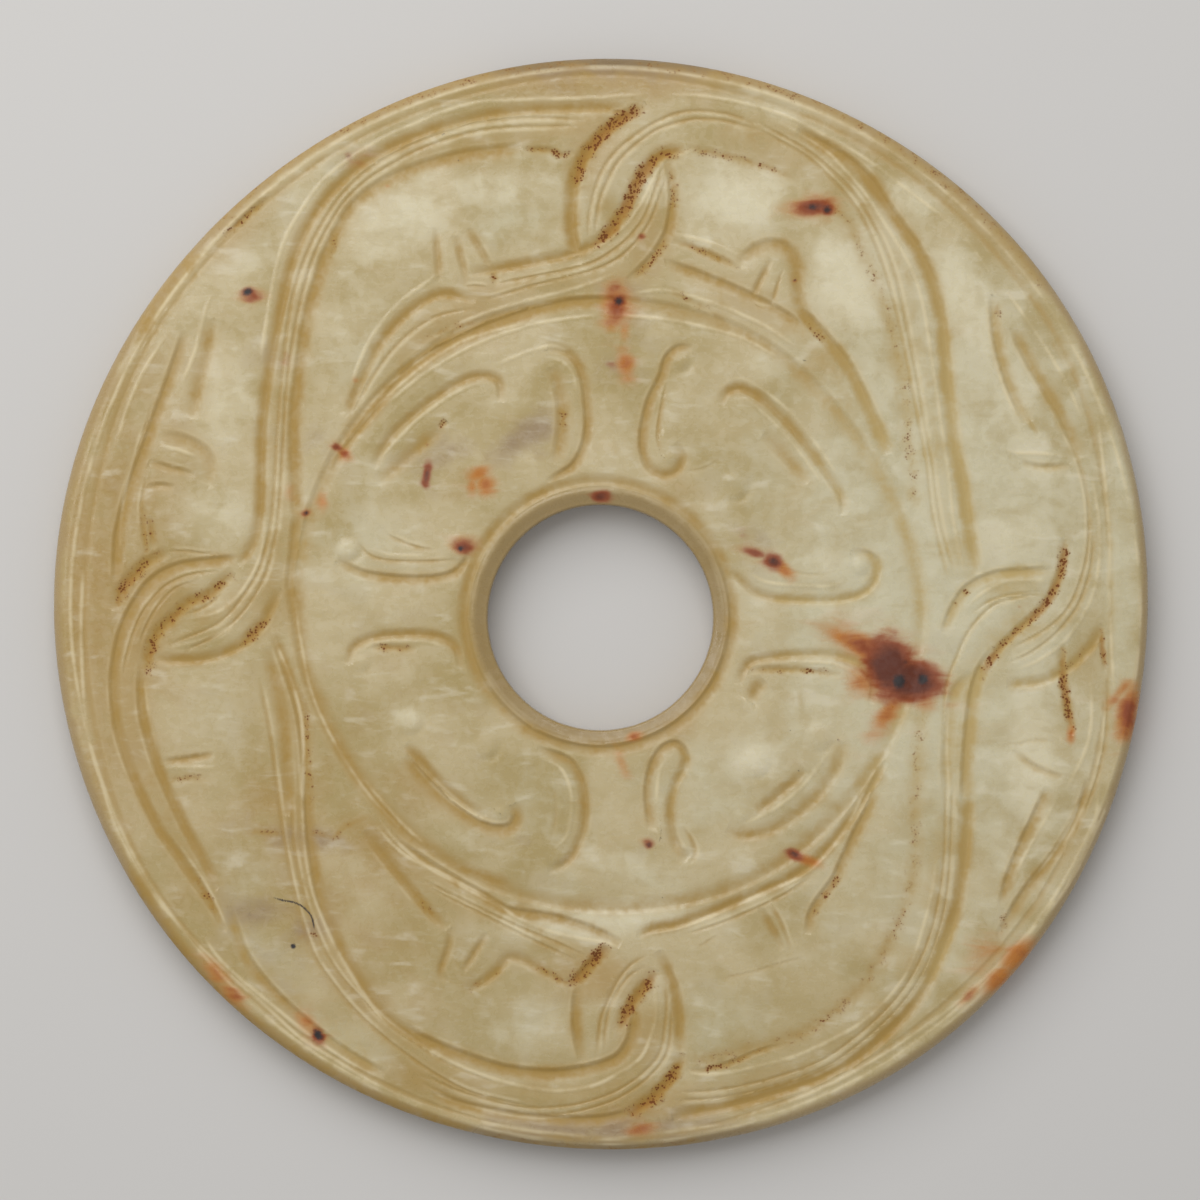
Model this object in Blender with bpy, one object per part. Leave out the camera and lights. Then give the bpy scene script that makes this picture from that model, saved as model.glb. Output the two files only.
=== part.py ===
"""Jade bi disc: a thin polished disc with a round bore, carved on its upper face.

The disc lies on its flat back. Its upper face carries slant-cut relief: a lip round the bore,
a ring, scrolls between the lip and the ring, and straps that interlace at four knots near the rim.
Lengths in the tables are millimetres from the centre of the rim; SCALE turns them into metres.
"""
import math

import bmesh
import bpy
import numpy as np

SCALE = 0.001                      # metres in a millimetre

# Driving sizes of the disc
RIM_RADIUS = 60.0
RIM_WAVES = ((2, 0.10, 14.0), (3, 0.29, -170.0), (4, 0.11, 146.0), (5, 0.12, 122.0))
BORE_RADIUS = 12.38
BORE_CENTRE = (-0.39, -1.36)
THICKNESS = 5.0
CROWN = 0.25                       # how much thinner the disc is at its rim than at its bore
RIM_ROUND = 1.5                    # radius of the upper edge of the rim
FOOT_ROUND = 0.8                   # radius of the lower edges of the rim and the bore
LIP_WIDTH = 1.7                    # sloping lip round the bore
LIP_DROP = 0.45

# Grid that the relief is cut in, and the part of its triangles that is kept
ANGLES = 660
FACE_ROWS = 170
KEPT_SHARE = 0.034

# Standard cuts: width, depth, and how far the deepest line leans to the left of the travel
RING_CUT = (2.4, 0.38, -0.6)
EDGE_L = (1.5, 0.34, 0.5)
EDGE_R = (1.5, 0.34, -0.5)
SOFT_EDGE = (2.4, 0.14, 0.0)
MID_LINE = (1.1, 0.17, 0.0)
WEDGE = (1.9, 0.52, 0.0)
SCROLL = (1.4, 0.30, 0.3)
STROKE = (1.2, 0.24, 0.0)
BORDER = (1.2, 0.15, 0.4)

# Distance of the ring and of the border line from the centre, every 30 degrees from +X
RING_RADII = (34.4, 32.9, 33.3, 33.0, 33.5, 33.4, 33.3, 32.4, 32.6, 32.8, 33.8, 34.1)
BORDER_RADII = (55.3, 56.9, 56.5, 56.4, 57.0, 57.6, 57.0, 58.1, 57.6, 58.5, 57.6, 57.4)

# Straps: outer edge, line along the middle and inner edge of each of the four arcs
STRAPS = (
    (EDGE_L, ((3, 55.9), (-8, 55.6), (-18, 54.2), (-26, 50.4), (-31.5, 45.8), (-35.3, 39.5),
              (-37.3, 30), (-38, 19), (-38, 8), (-40, 4.9))),
    (MID_LINE, ((-2, 53.1), (-12, 52.8), (-21, 50), (-28.5, 45), (-32.5, 38), (-34.6, 29),
                (-35.5, 19), (-36.7, 7), (-38.6, 2), (-42.5, -2.1), (-47.5, -4.3))),
    (EDGE_R, ((-3.5, 49.6), (-13, 49.3), (-22, 47.1), (-28.5, 42), (-31.8, 33), (-33.5, 23),
              (-34.4, 11), (-36, 1), (-38.5, -2.8), (-43, -5.6), (-49, -5.3))),
    (EDGE_R, ((6, 55.6), (14, 54.8), (21, 52), (27, 48.1), (32.3, 41.8), (36, 34.3), (37.4, 25),
              (38.2, 18), (39.5, 10), (40.6, 3.8))),
    (MID_LINE, ((19, 51.4), (25, 46.8), (29.3, 41), (32.2, 33), (34, 24), (36, 12.5), (38, 3.5))),
    (SOFT_EDGE, ((8, 49.8), (19, 47.5), (26, 43), (30, 37), (32.3, 25), (33.8, 12), (36, 3))),
    (EDGE_L, ((50.2, 6), (49.4, 2.3), (46, -1.8), (42.5, -5.5), (40.7, -10), (39.8, -18),
              (39.2, -27), (37.3, -36), (33, -44.5), (27, -49.8), (18, -53.4), (7, -55.7))),
    (MID_LINE, ((48, 1.6), (43.5, 0.7), (40.3, -2), (38, -8), (37.3, -15), (36.9, -28), (33.8, -39.5),
                (28, -46), (20, -50.6), (8, -53.3))),
    (SOFT_EDGE, ((35.6, -9), (34.3, -15), (33.8, -28), (30.3, -38.7), (25, -44.8), (17, -48.6),
                 (9, -51))),
    (EDGE_R, ((-36.2, -3), (-33.7, -10), (-32.9, -16), (-32.3, -22), (-31.2, -32), (-28, -38.5),
              (-24.5, -44.3), (-18, -48.8), (-11, -50.9), (-5, -51.5), (-1, -50.7), (1.8, -49.5),
              (3.3, -46.5), (3.2, -44))),
    (MID_LINE, ((-37.3, -5), (-35.3, -13), (-34.4, -24), (-32.3, -37), (-26, -45.5), (-18, -52),
                (-8, -55), (-1, -54.1), (4, -51.2), (6.5, -46.5), (6.5, -41))),
    (EDGE_L, ((-53.5, -9), (-52.3, -16), (-48.5, -24.5), (-44, -31), (-41, -35.5), (-36, -43.5),
              (-28, -49.8), (-18, -54.2), (-8, -56.1), (0, -56.3), (5, -53.9), (7.7, -50.5),
              (8, -44.5), (6.3, -38.5))),
)

# Knots: the hooks that close each pair of straps, and the deep stained wedges between them
KNOTS = (
    (EDGE_L, ((4.3, 54.9), (0, 51.8), (-2.8, 47.8), (-3.7, 43), (-3, 37.3))),
    (MID_LINE, ((19, 51.4), (10, 53.7), (4, 51.6), (0.3, 47.5), (-1.3, 40))),
    (WEDGE, ((4, 54.5), (0.8, 52.5), (-1.6, 50), (-2.9, 47.5))),
    (WEDGE, ((9, 50), (5.5, 49), (3.2, 45.6), (0.5, 40.8), (-3.5, 38.7), (-8, 37.8))),
    (EDGE_L, ((-4, 38.6), (-10, 37.5), (-16, 36.5))),
    (EDGE_R, ((6.6, 48.7), (7.6, 45), (7.1, 41), (5.2, 37.7), (2.7, 35.3))),
    (MID_LINE, ((6, 47.5), (4.4, 42.6), (1.3, 38.8), (-3.5, 36.6), (-11, 35.6))),
    (EDGE_R, ((2, 35.6), (-5, 34.4), (-15, 31.2), (-20, 28.2))),
    (EDGE_L, ((7.3, 37.2), (13, 35), (19, 32), (22.5, 29))),
    (EDGE_R, ((-40, 4.8), (-45.5, 4.4), (-49.5, 2.5), (-52.5, -2.5), (-53.5, -9))),
    (WEDGE, ((-46, 5.9), (-50, 4.8), (-52.8, 2), (-53.9, -0.8))),
    (WEDGE, ((-41, 3.3), (-43.8, 1.2), (-47.5, -1), (-50, -5), (-50.3, -10), (-48.9, -16.5))),
    (WEDGE, ((-37.2, -1.8), (-38.5, -3.1), (-40.3, -4.4))),
    (MID_LINE, ((-42, 3.7), (-47.5, 2.4), (-50.8, -1.5), (-52, -5))),
    (EDGE_L, ((37, -3), (38.5, 0), (41, 2.4), (44, 3.4), (49.5, 3.6))),
    (WEDGE, ((50, 4.5), (49, 1.5), (46, -1.8), (43, -4.8), (41, -8), (40.6, -10.5))),
    (EDGE_L, ((54.2, -2.2), (52.5, -5), (49.5, -7.4), (44, -8.4))),
    (WEDGE, ((54.2, -2.4), (54.6, -5), (55, -7.3))),
    (WEDGE, ((50, -4.5), (50.2, -8.5), (51.2, -14))),
    (MID_LINE, ((49.5, 20.5), (52.9, 13), (53.2, 5.5), (50.4, -1.2), (44.5, -4.8))),
    (WEDGE, ((-8, -39.4), (-3.3, -41.3), (-0.8, -39.3), (1.3, -37.2))),
    (WEDGE, ((5.6, -39.9), (3, -43.4), (1.2, -46))),
    (WEDGE, ((8.3, -49.2), (6.6, -52.4), (4, -54.8), (0.5, -56.1))),
    (EDGE_L, ((-2.5, -41.5), (-2.9, -45.5), (-2, -50))),
    (MID_LINE, ((5, -38), (1.5, -41), (-0.4, -45.2), (-0.9, -49.5))),
    (EDGE_R, ((-21, -31), (-16.5, -35), (-10.5, -38.3), (-5, -40.7))),
    (EDGE_L, ((-21, -27.6), (-15, -30.8), (-9, -34.5), (-3, -36.4), (3, -38.2))),
    (EDGE_R, ((3, -36.3), (8, -34.8), (15, -32.1), (22, -29), (25.4, -25), (28.5, -19.5))),
    (EDGE_R, ((29.4, -21.5), (26.5, -27.5), (24, -31.8), (22.5, -36))),
)

# Scrolls between the bore and the ring
SCROLLS = (
    (SCROLL, ((-12, 26.5), (-6, 28.7), (-2.7, 26.5), (-1.7, 21), (-3, 15.5), (-6, 13.4))),
    (SCROLL, ((-25, 16), (-19.5, 21.4), (-14.5, 25), (-11.4, 24.4), (-11.2, 22.8))),
    (SCROLL, ((9.5, 27.5), (6.4, 22.7), (4.4, 18), (6.3, 14.4), (8.4, 15.7), (7.3, 17.5))),
    (SCROLL, ((13, 22.8), (15.3, 24), (20, 20.5), (24.5, 14.8), (26.3, 11.5), (26, 9.8))),
    (SCROLL, ((-29, 5.5), (-26, 3.3), (-20, 2.8), (-16.3, 3.4), (-14.7, 5.6))),
    (SCROLL, ((-28, -6), (-25.5, -3.3), (-19.5, -3.2), (-16.5, -4.6), (-15.6, -7))),
    (SCROLL, ((14.3, 3.2), (17, 1.4), (26, 0.8), (29.3, 2.3), (29.4, 5), (27.3, 5.6))),
    (SCROLL, ((14.5, -8), (17, -5.8), (25, -5.6), (28.7, -7.2), (29.3, -10.5))),
    (SCROLL, ((-5, -16.4), (-3.2, -17.8), (-2.2, -22), (-3.5, -27), (-6, -28.7))),
    (SCROLL, ((6.2, -17.5), (7.5, -15.3), (8.7, -16.6), (7, -21), (7.7, -25.5), (9.5, -27))),
    (SCROLL, ((-26.5, -17.5), (-20.5, -23.2), (-14, -24.7), (-9.8, -24), (-9.9, -22))),
    (SCROLL, ((13.5, -24), (16.5, -24.7), (21.5, -22.4), (25.5, -17.5), (24.5, -14.8))),
)

# Short claws and arches in the fields beside the knots
STROKES = (
    ((-18.5, 41), (-18, 35.3)),
    ((-15, 41.3), (-13.5, 39), (-11.8, 35.2)),
    ((7.5, 39.8), (12.5, 37.9), (16, 36.6)),
    ((15.3, 37.3), (18.5, 39.4), (20.8, 37), (22, 32), (26.8, 26), (29, 21)),
    ((-46, 30), (-47.5, 25), (-49.3, 19.5), (-52, 12), (-53.1, 4.5)),
    ((-43.7, 31), (-43.9, 27), (-45.3, 20.5)),
    ((-48.5, 18.5), (-44.5, 17.2), (-43.3, 15), (-43.8, 13.3)),
    ((-49.8, 15.7), (-47, 15), (-44.8, 14.2)),
    ((-49, -19.3), (-46, -19), (-42.5, -18.8)),
    ((42.5, 34), (43, 29.5), (45, 23.5), (47, 19.5)),
    ((45, 30), (49, 23), (51, 20)),
    ((44, 17.2), (47, 16.5), (51, 16.2)),
    ((44.7, -15.8), (46.5, -17.3), (50, -18.8)),
    ((53, -19), (50.3, -25.5), (46, -31.5), (43.5, -36)),
    ((-16.7, -35.3), (-17.3, -37.5), (-18, -40)),
    ((-11.6, -39.8), (-13.2, -41.1), (-14.8, -42)),
    ((17.3, -32.5), (18.4, -34.5), (19.8, -37.8)),
    ((-25.5, -24.8), (-22, -29.7), (-18.8, -33.6)),
    ((-19, 35.7), (-23.5, 32.3), (-26.8, 27), (-28, 22)),
)


def curve_through(knots, closed=False, step=0.7):
    """Points about one step apart on the Catmull-Rom curve through the knots."""
    knots = np.array(knots, float)
    if closed:
        knots = np.vstack([knots[-1:], knots, knots[:2]])
    else:
        knots = np.vstack([2 * knots[:1] - knots[1:2], knots, 2 * knots[-1:] - knots[-2:-1]])
    points = []
    for before, start, end, after in zip(knots, knots[1:], knots[2:], knots[3:]):
        count = max(2, int(np.hypot(*(end - start)) / step))
        t = (np.arange(count) / count)[:, None]
        points.append(0.5 * (2 * start + (end - before) * t
                             + (2 * before - 5 * start + 4 * end - after) * t ** 2
                             + (3 * start - before - 3 * end + after) * t ** 3))
    points.append(knots[-2:-1])
    return np.vstack(points)


def ring_points(radii):
    """Knots of a closed line at the given distances, spread evenly round the centre."""
    angles = 2 * np.pi * np.arange(len(radii)) / len(radii)
    return np.column_stack([radii * np.cos(angles), radii * np.sin(angles)])


def beside(path, points, reach):
    """Signed distance (left is positive) and share of the path's length, for points in reach."""
    distance = np.full(len(points), np.inf)
    share = np.zeros(len(points))
    steps = np.hypot(*(path[1:] - path[:-1]).T)
    travelled = np.concatenate([[0.0], np.cumsum(steps)])
    for index, length in enumerate(steps):
        start = path[index]
        along = (path[index + 1] - start) / length
        middle = start + along * length / 2
        span = length / 2 + reach
        close = np.flatnonzero((np.abs(points[:, 0] - middle[0]) < span)
                               & (np.abs(points[:, 1] - middle[1]) < span))
        offset = points[close] - start
        t = np.clip(offset @ along, 0, length)
        gap = offset - t[:, None] * along
        side = np.sign(along[0] * offset[:, 1] - along[1] * offset[:, 0])
        signed = np.where(side < 0, -1.0, 1.0) * np.hypot(gap[:, 0], gap[:, 1])
        nearer = np.abs(signed) < np.abs(distance[close])
        distance[close[nearer]] = signed[nearer]
        share[close[nearer]] = (travelled[index] + t[nearer]) / travelled[-1]
    return distance, share, travelled[-1]


def groove_depth(cut, path, points, closed=False):
    """Depth of a V cut with rounded shoulders that runs out to nothing at its two ends."""
    width, depth, lean = cut
    distance, share, length = beside(path, points, width)
    deepest = lean * width / 2
    wall = np.where(distance > deepest, width / 2 - deepest, width / 2 + deepest)
    level = np.clip(1 - np.abs(distance - deepest) / wall, 0, 1)
    profile = level * level * (3 - 2 * level)
    if closed:
        return depth * profile
    fade = min(2.5, length / 3)
    run_out = np.clip(np.minimum(share, 1 - share) * length / fade, 0, 1)
    return depth * profile * np.sqrt(run_out)


def carved_depth(points):
    """How far the relief is cut below the polished face at each point of the disc."""
    cuts = [(cut, curve_through(knots), False) for cut, knots in STRAPS + KNOTS + SCROLLS]
    cuts += [(STROKE, curve_through(knots), False) for knots in STROKES]
    cuts.append((RING_CUT, curve_through(ring_points(RING_RADII), closed=True), True))
    cuts.append((BORDER, curve_through(ring_points(BORDER_RADII), closed=True), True))
    depth = np.zeros(len(points))
    for cut, path, closed in cuts:
        depth = np.maximum(depth, groove_depth(cut, path, points, closed))
    return depth


def rim_radius(angles):
    """Radius of the slightly uneven rim at each angle."""
    radius = np.full_like(angles, RIM_RADIUS)
    for waves, height, crest in RIM_WAVES:
        radius += height * np.cos(waves * angles - math.radians(crest))
    return radius


def section_rows():
    """Closed cross-section, from the bore over the face and rim and back along the underside.

    A row is (share, inset, height): share 0 lies on the bore and 1 on the rim, and inset is
    added to the radius.
    """
    quarter = np.linspace(0, math.pi / 2, 5)
    rim_top = THICKNESS - CROWN
    lip_top = THICKNESS - LIP_DROP
    rows = [(0.0, 0.0, lip_top / 2), (0.0, 0.0, lip_top - 0.3), (0.0, 0.25, lip_top)]
    shares = np.linspace(0, 1, FACE_ROWS)
    for share in shares:
        inset = LIP_WIDTH * (1 - share) - RIM_ROUND * share
        rows.append((share, inset, THICKNESS - CROWN * share))
    for angle in quarter[1:]:
        rows.append((1.0, RIM_ROUND * (math.sin(angle) - 1),
                     rim_top - RIM_ROUND * (1 - math.cos(angle))))
    for angle in quarter[::-1]:
        rows.append((1.0, FOOT_ROUND * (math.sin(angle) - 1), FOOT_ROUND * (1 - math.cos(angle))))
    rows.append((0.5, 0.0, 0.0))
    rows.append((0.0, FOOT_ROUND, 0.0))
    rows.append((0.0, 0.0, FOOT_ROUND))
    return np.array(rows)


def disc_grid():
    """Corner points of the carved disc as rows (cross-section) by columns (angle)."""
    rows = section_rows()
    angles = 2 * np.pi * np.arange(ANGLES) / ANGLES
    share, inset, height = (column[:, None] for column in rows.T)
    radius = (1 - share) * BORE_RADIUS + share * rim_radius(angles)[None, :] + inset
    x = (1 - share) * BORE_CENTRE[0] + radius * np.cos(angles)
    y = (1 - share) * BORE_CENTRE[1] + radius * np.sin(angles)
    z = np.broadcast_to(height, x.shape).copy()
    upper = np.arange(2, 3 + FACE_ROWS)
    flat = np.column_stack([x[upper].ravel(), y[upper].ravel()])
    z[upper] -= carved_depth(flat).reshape(len(upper), ANGLES)
    x -= (x.max() + x.min()) / 2
    y -= (y.max() + y.min()) / 2
    return np.stack([x, y, z], axis=-1) * SCALE


def grid_mesh(grid, name):
    """Mesh of a grid that closes on itself in both directions, with its faces pointing out."""
    rows, columns = grid.shape[:2]
    index = np.arange(rows * columns).reshape(rows, columns)
    next_row = np.roll(index, -1, axis=0)
    next_column = np.roll(index, -1, axis=1)
    corner = np.roll(next_row, -1, axis=1)
    faces = np.stack([index, next_row, corner, next_column], axis=-1).reshape(-1, 4)
    mesh = bpy.data.meshes.new(name)
    mesh.from_pydata(grid.reshape(-1, 3), [], faces)
    shape = bmesh.new()
    shape.from_mesh(mesh)
    bmesh.ops.recalc_face_normals(shape, faces=shape.faces)
    if shape.calc_volume(signed=True) < 0:
        bmesh.ops.reverse_faces(shape, faces=shape.faces)
    shape.to_mesh(mesh)
    shape.free()
    return mesh


def jade_material():
    """Polished pale jade, olive cream with ochre in it."""
    material = bpy.data.materials.new("jade")
    material.use_nodes = True
    shader = material.node_tree.nodes["Principled BSDF"]
    shader.inputs["Base Color"].default_value = (0.47, 0.40, 0.24, 1.0)
    shader.inputs["Roughness"].default_value = 0.28
    shader.inputs["Metallic"].default_value = 0.0
    return material


def make_disc():
    """The whole disc, one solid."""
    mesh = grid_mesh(disc_grid(), "jade_disc")
    mesh.materials.append(jade_material())
    disc = bpy.data.objects.new("jade_disc", mesh)
    bpy.context.scene.collection.objects.link(disc)
    mesh.shade_smooth()
    mesh.set_sharp_from_angle(angle=math.radians(35))
    thin_out = disc.modifiers.new("fewer_triangles", 'DECIMATE')
    thin_out.ratio = KEPT_SHARE
    return disc


for old in list(bpy.data.objects):
    bpy.data.objects.remove(old, do_unlink=True)
make_disc()
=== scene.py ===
"""Looks of the jade bi disc: the carved stone in full relief, its stains, and a pale studio.

Lengths in the tables are millimetres from the centre of the rim's mean circle, +X to the right
and +Y up the carved face. SCALE and the frame's box turn them into the frame's metres.
"""
import math
from collections import namedtuple

import bpy
import mathutils
import numpy as np
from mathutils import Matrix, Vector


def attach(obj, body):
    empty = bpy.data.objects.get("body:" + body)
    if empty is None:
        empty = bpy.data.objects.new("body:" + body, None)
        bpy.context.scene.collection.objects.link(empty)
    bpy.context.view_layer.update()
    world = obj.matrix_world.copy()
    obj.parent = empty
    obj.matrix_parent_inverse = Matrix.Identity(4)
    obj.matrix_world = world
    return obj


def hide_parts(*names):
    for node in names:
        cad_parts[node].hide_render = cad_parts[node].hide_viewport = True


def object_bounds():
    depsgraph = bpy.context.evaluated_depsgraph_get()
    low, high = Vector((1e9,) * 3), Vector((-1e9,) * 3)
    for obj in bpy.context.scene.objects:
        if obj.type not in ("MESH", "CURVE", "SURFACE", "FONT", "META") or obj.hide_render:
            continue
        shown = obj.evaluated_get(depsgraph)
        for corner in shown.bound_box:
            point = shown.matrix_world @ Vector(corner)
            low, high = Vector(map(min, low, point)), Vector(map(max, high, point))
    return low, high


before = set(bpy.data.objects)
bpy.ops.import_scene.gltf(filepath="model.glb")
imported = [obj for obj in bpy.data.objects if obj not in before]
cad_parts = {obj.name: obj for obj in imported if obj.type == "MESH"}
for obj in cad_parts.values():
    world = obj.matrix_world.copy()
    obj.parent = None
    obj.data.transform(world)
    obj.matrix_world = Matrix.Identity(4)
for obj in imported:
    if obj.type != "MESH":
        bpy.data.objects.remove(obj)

FRAME_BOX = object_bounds()
SCALE = 0.001                      # metres in a millimetre

# Driving sizes of the disc
RIM_RADIUS = 60.0
RIM_WAVES = ((2, 0.10, 14.0), (3, 0.29, -170.0), (4, 0.11, 146.0), (5, 0.12, 122.0))
BORE_RADIUS = 12.38
BORE_CENTRE = (-0.39, -1.36)
THICKNESS = 5.0
CROWN = 0.25                       # how much thinner the disc is at its rim than at its bore
RIM_ROUND = 1.5                    # radius of the upper edge of the rim
FOOT_ROUND = 0.8                   # radius of the lower edges of the rim and the bore
LIP_WIDTH = 1.7                    # sloping lip round the bore
LIP_DROP = 0.45
LIP_CENTRE = (-0.6, -1.05)         # the line cut round the lip is a little off the bore
BORE_SLOPE = (0.12, 0.3)           # width and height of the slope from the lip into the bore
POLISH = 0.045                     # depth of the soft waves left by polishing by hand
POLISH_WAVES = np.geomspace(3.2, 15, 16)
POLISH_SEED = 11

# Working grid and the number of triangles kept from it
COLUMNS = 1560
FACE_ROWS = 300
BACK_ROWS = 110
WALL_ROWS = 6                      # on the bore's wall, and on the rim's
ROUND_ROWS = 9                     # on each rounded edge
TRIANGLES = 193000
PAINT_RELIEF = 0.08                # mm of false relief that keeps points where stains change
EVENNESS = 0.0002                  # how much the thinning prefers short edges
SLOPE_STEP = 0.03                  # mm across which the face's slope is measured

# Colours of the stone and its stains, and of the painted highlight along its shoulder lines
OLIVE = (0.428, 0.330, 0.142)
CREAM = (0.552, 0.455, 0.260)
MILK = (0.76, 0.71, 0.54)
RIM_BROWN = (0.395, 0.28, 0.13)
DARK_RIM = (0.20, 0.135, 0.060)
LIP_TAN = (0.305, 0.205, 0.078)
OCHRE = (0.385, 0.238, 0.052)
PALE_OCHRE = (0.475, 0.345, 0.125)
# Painted highlight: the light cream of the line along cut shoulders and ridges, partly worn polish
HIGHLIGHT_CREAM = (0.73, 0.62, 0.385)
RUST = (0.33, 0.135, 0.018)
DARK_RUST = (0.155, 0.042, 0.005)
ORANGE = (0.50, 0.175, 0.018)
IRON_RED = (0.27, 0.055, 0.014)
IRON_BROWN = (0.105, 0.026, 0.013)
IRON_BLACK = (0.030, 0.024, 0.024)
# Painted tone, its colour, how strongly it colours and how ragged its edge is
TINTS = (
    ("tan", (0.405, 0.262, 0.082), 0.82, 0.20),
    ("cool", (0.605, 0.562, 0.388), 0.85, 0.18),
    # The pale tone also carries painted highlights on the tops of some bosses
    ("pale", (0.69, 0.62, 0.425), 0.95, 0.17),
    ("murky", (0.31, 0.215, 0.130), 0.78, 0.25),
)

# How far stains spread, in mm: ochre over a share of the cut's width and a little more, the
# painted highlight line of the worn shoulder over its own half width; and how fast the three
# tones of an iron spot fade outwards
SOAK_SHARE, SOAK_EDGE = 0.45, 0.12
HIGHLIGHT_WIDTH = 0.25
HALO_FALL, RED_FALL, CORE_FALL = 0.45, 0.85, 1.8

# Patterns and surface of the stone
FIBRE_TURN = 0.5                   # radians from +X to the run of the fibres
FIBRE_STRETCH = (0.32, 1.0, 1.0)
SPECK_SIZE = 0.29                  # mm between the rust specks
POLISHED = (0.22, 0.34)            # roughness of the bare stone, least and most
BUMP_HEIGHT = 0.00006
Patterns = namedtuple("Patterns", "where cloud wisp fine grain fibre hair")

# Studio, in metres
FLOOR_HALF = 1.5
FLOOR_HEIGHT = -0.00002
FLOOR_COLOUR = (0.62, 0.605, 0.585, 1.0)
KEY_PLACE = (-0.17, 0.33, 0.44)
KEY_SIZE = 0.6
KEY_WATTS = 2.7
ROOM_LIGHT = 0.45
CAMERA_DISTANCE = 0.6
VIEW_CENTRE = (-0.0001, 0.00045)
VIEW_WIDTH = 0.13125
SENSOR_WIDTH = 36                  # mm, which is what Blender's lens lengths are in

# A cut: width and depth in mm and the lean of its deepest line to the left of the travel
# (-1 to 1); the reach and depth in mm of the soft hollow on both sides of it; then ochre stain,
# rust stain and the painted highlight line along its worn shoulder, each about 0 to 1. A ridge has
# a negative depth, and a stain, a vein or a wash has none.
Cut = namedtuple("Cut", "width depth lean hollow sink ochre rust worn", defaults=(0.0,) * 8)
EDGE_L = Cut(1.6, 0.17, 0.35, 3.4, 0.10, ochre=1.0, worn=0.45)
EDGE_R = EDGE_L._replace(lean=-0.35)
BEVEL_L = Cut(2.0, 0.14, 0.35, 3.6, 0.09, ochre=0.9, rust=0.1, worn=0.35)
BEVEL_R = BEVEL_L._replace(lean=-0.35)
DARK_L = EDGE_L._replace(width=1.9, depth=0.21, ochre=1.2)
DARK_R = DARK_L._replace(lean=-0.35)
SOFT = Cut(2.2, 0.05, 0.0, 3.6, 0.06, ochre=0.60, rust=0.40)
FINE_L = Cut(0.6, 0.065, 0.2, 0.9, 0.02, ochre=0.7, worn=0.65)
FINE_R = FINE_L._replace(lean=-0.2)
FAINT = Cut(0.6, 0.035, 0.2, 0.9, 0.01, ochre=0.4, worn=0.35)
WEDGE = Cut(1.9, 0.22, 0.25, 3.2, 0.14, ochre=1.0, rust=0.95)
RUSTED = WEDGE._replace(ochre=1.1, rust=1.45)
CLEFT = Cut(1.3, 0.18, 0.2, 3.0, 0.12, ochre=1.1, rust=1.35)
NICK = Cut(1.1, 0.13, 0.0, 1.8, 0.05, ochre=0.8, rust=0.75)
RUSTED_NICK = NICK._replace(width=0.9, rust=1.3)
SPECKED = Cut(1.2, 0.06, 0.0, 2.0, 0.04, ochre=0.6, rust=0.6)
SCROLL_L = Cut(1.4, 0.17, 0.3, 2.8, 0.10, ochre=0.9, worn=0.4)
SCROLL_R = SCROLL_L._replace(lean=-0.3)
STROKE = Cut(1.1, 0.14, 0.1, 2.0, 0.06, ochre=0.85, worn=0.4)
# A ridge is a low raised line; the light line along its crest is a painted highlight
RIDGE = Cut(0.75, -0.04, worn=0.85)
RING_CUT = Cut(2.2, 0.13, -0.4, 3.6, 0.10, ochre=0.70, worn=0.35)
BORDER = Cut(0.9, 0.05, 0.3, 1.8, 0.03, ochre=0.6, worn=0.28)
LIP_CUT = Cut(1.7, 0.17, 0.4, 2.8, 0.08, ochre=0.85, worn=0.35)
VEIN = Cut(0.9, ochre=0.7, rust=0.5)
RIM_STAIN = Cut(1.9, ochre=0.5, rust=0.42)
RIM_OCHRE = Cut(2.4, ochre=0.9)
# Painted glow: a light line along the rim's lower right edge
PAINTED_RIM_GLOW = Cut(1.6, worn=0.8)
WASH = Cut(5.0, ochre=0.50)
FADE = 2.5                         # mm over which a cut runs out at its ends
CRACK_FADE = 0.8
BOSS_FOOT = 0.45                   # half width in mm of the cut round a boss

# Closed lines: the cut, distances from the centre at even angles, and the centre
RIM_CENTRE = (0.0, 0.0)
CLOSED_LINES = (
    (RING_CUT, (34.4, 32.9, 33.3, 33.0, 33.5, 33.4, 33.3, 32.4, 32.6, 32.8, 33.8, 34.1), RIM_CENTRE),
    (BORDER, (55.6, 57.6, 58.0, 58.2, 57.8, 57.6, 57.0, 58.1, 57.6, 58.5, 57.6, 57.4), RIM_CENTRE),
    (RIDGE, (58.7, 58.6, 58.8, 58.9, 58.6, 58.3, 58.4, 58.3, 58.4, 59.0, 58.8, 58.7), RIM_CENTRE),
    (LIP_CUT, (14.9,) * 12, LIP_CENTRE),
    (FAINT, (14.0,) * 12, LIP_CENTRE),
)
# The plain back has only a ring inside its rim and one round its bore
BACK_RINGS = ((BORDER, (55.5,) * 24, RIM_CENTRE), (BORDER, (15.2,) * 24, LIP_CENTRE))

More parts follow.
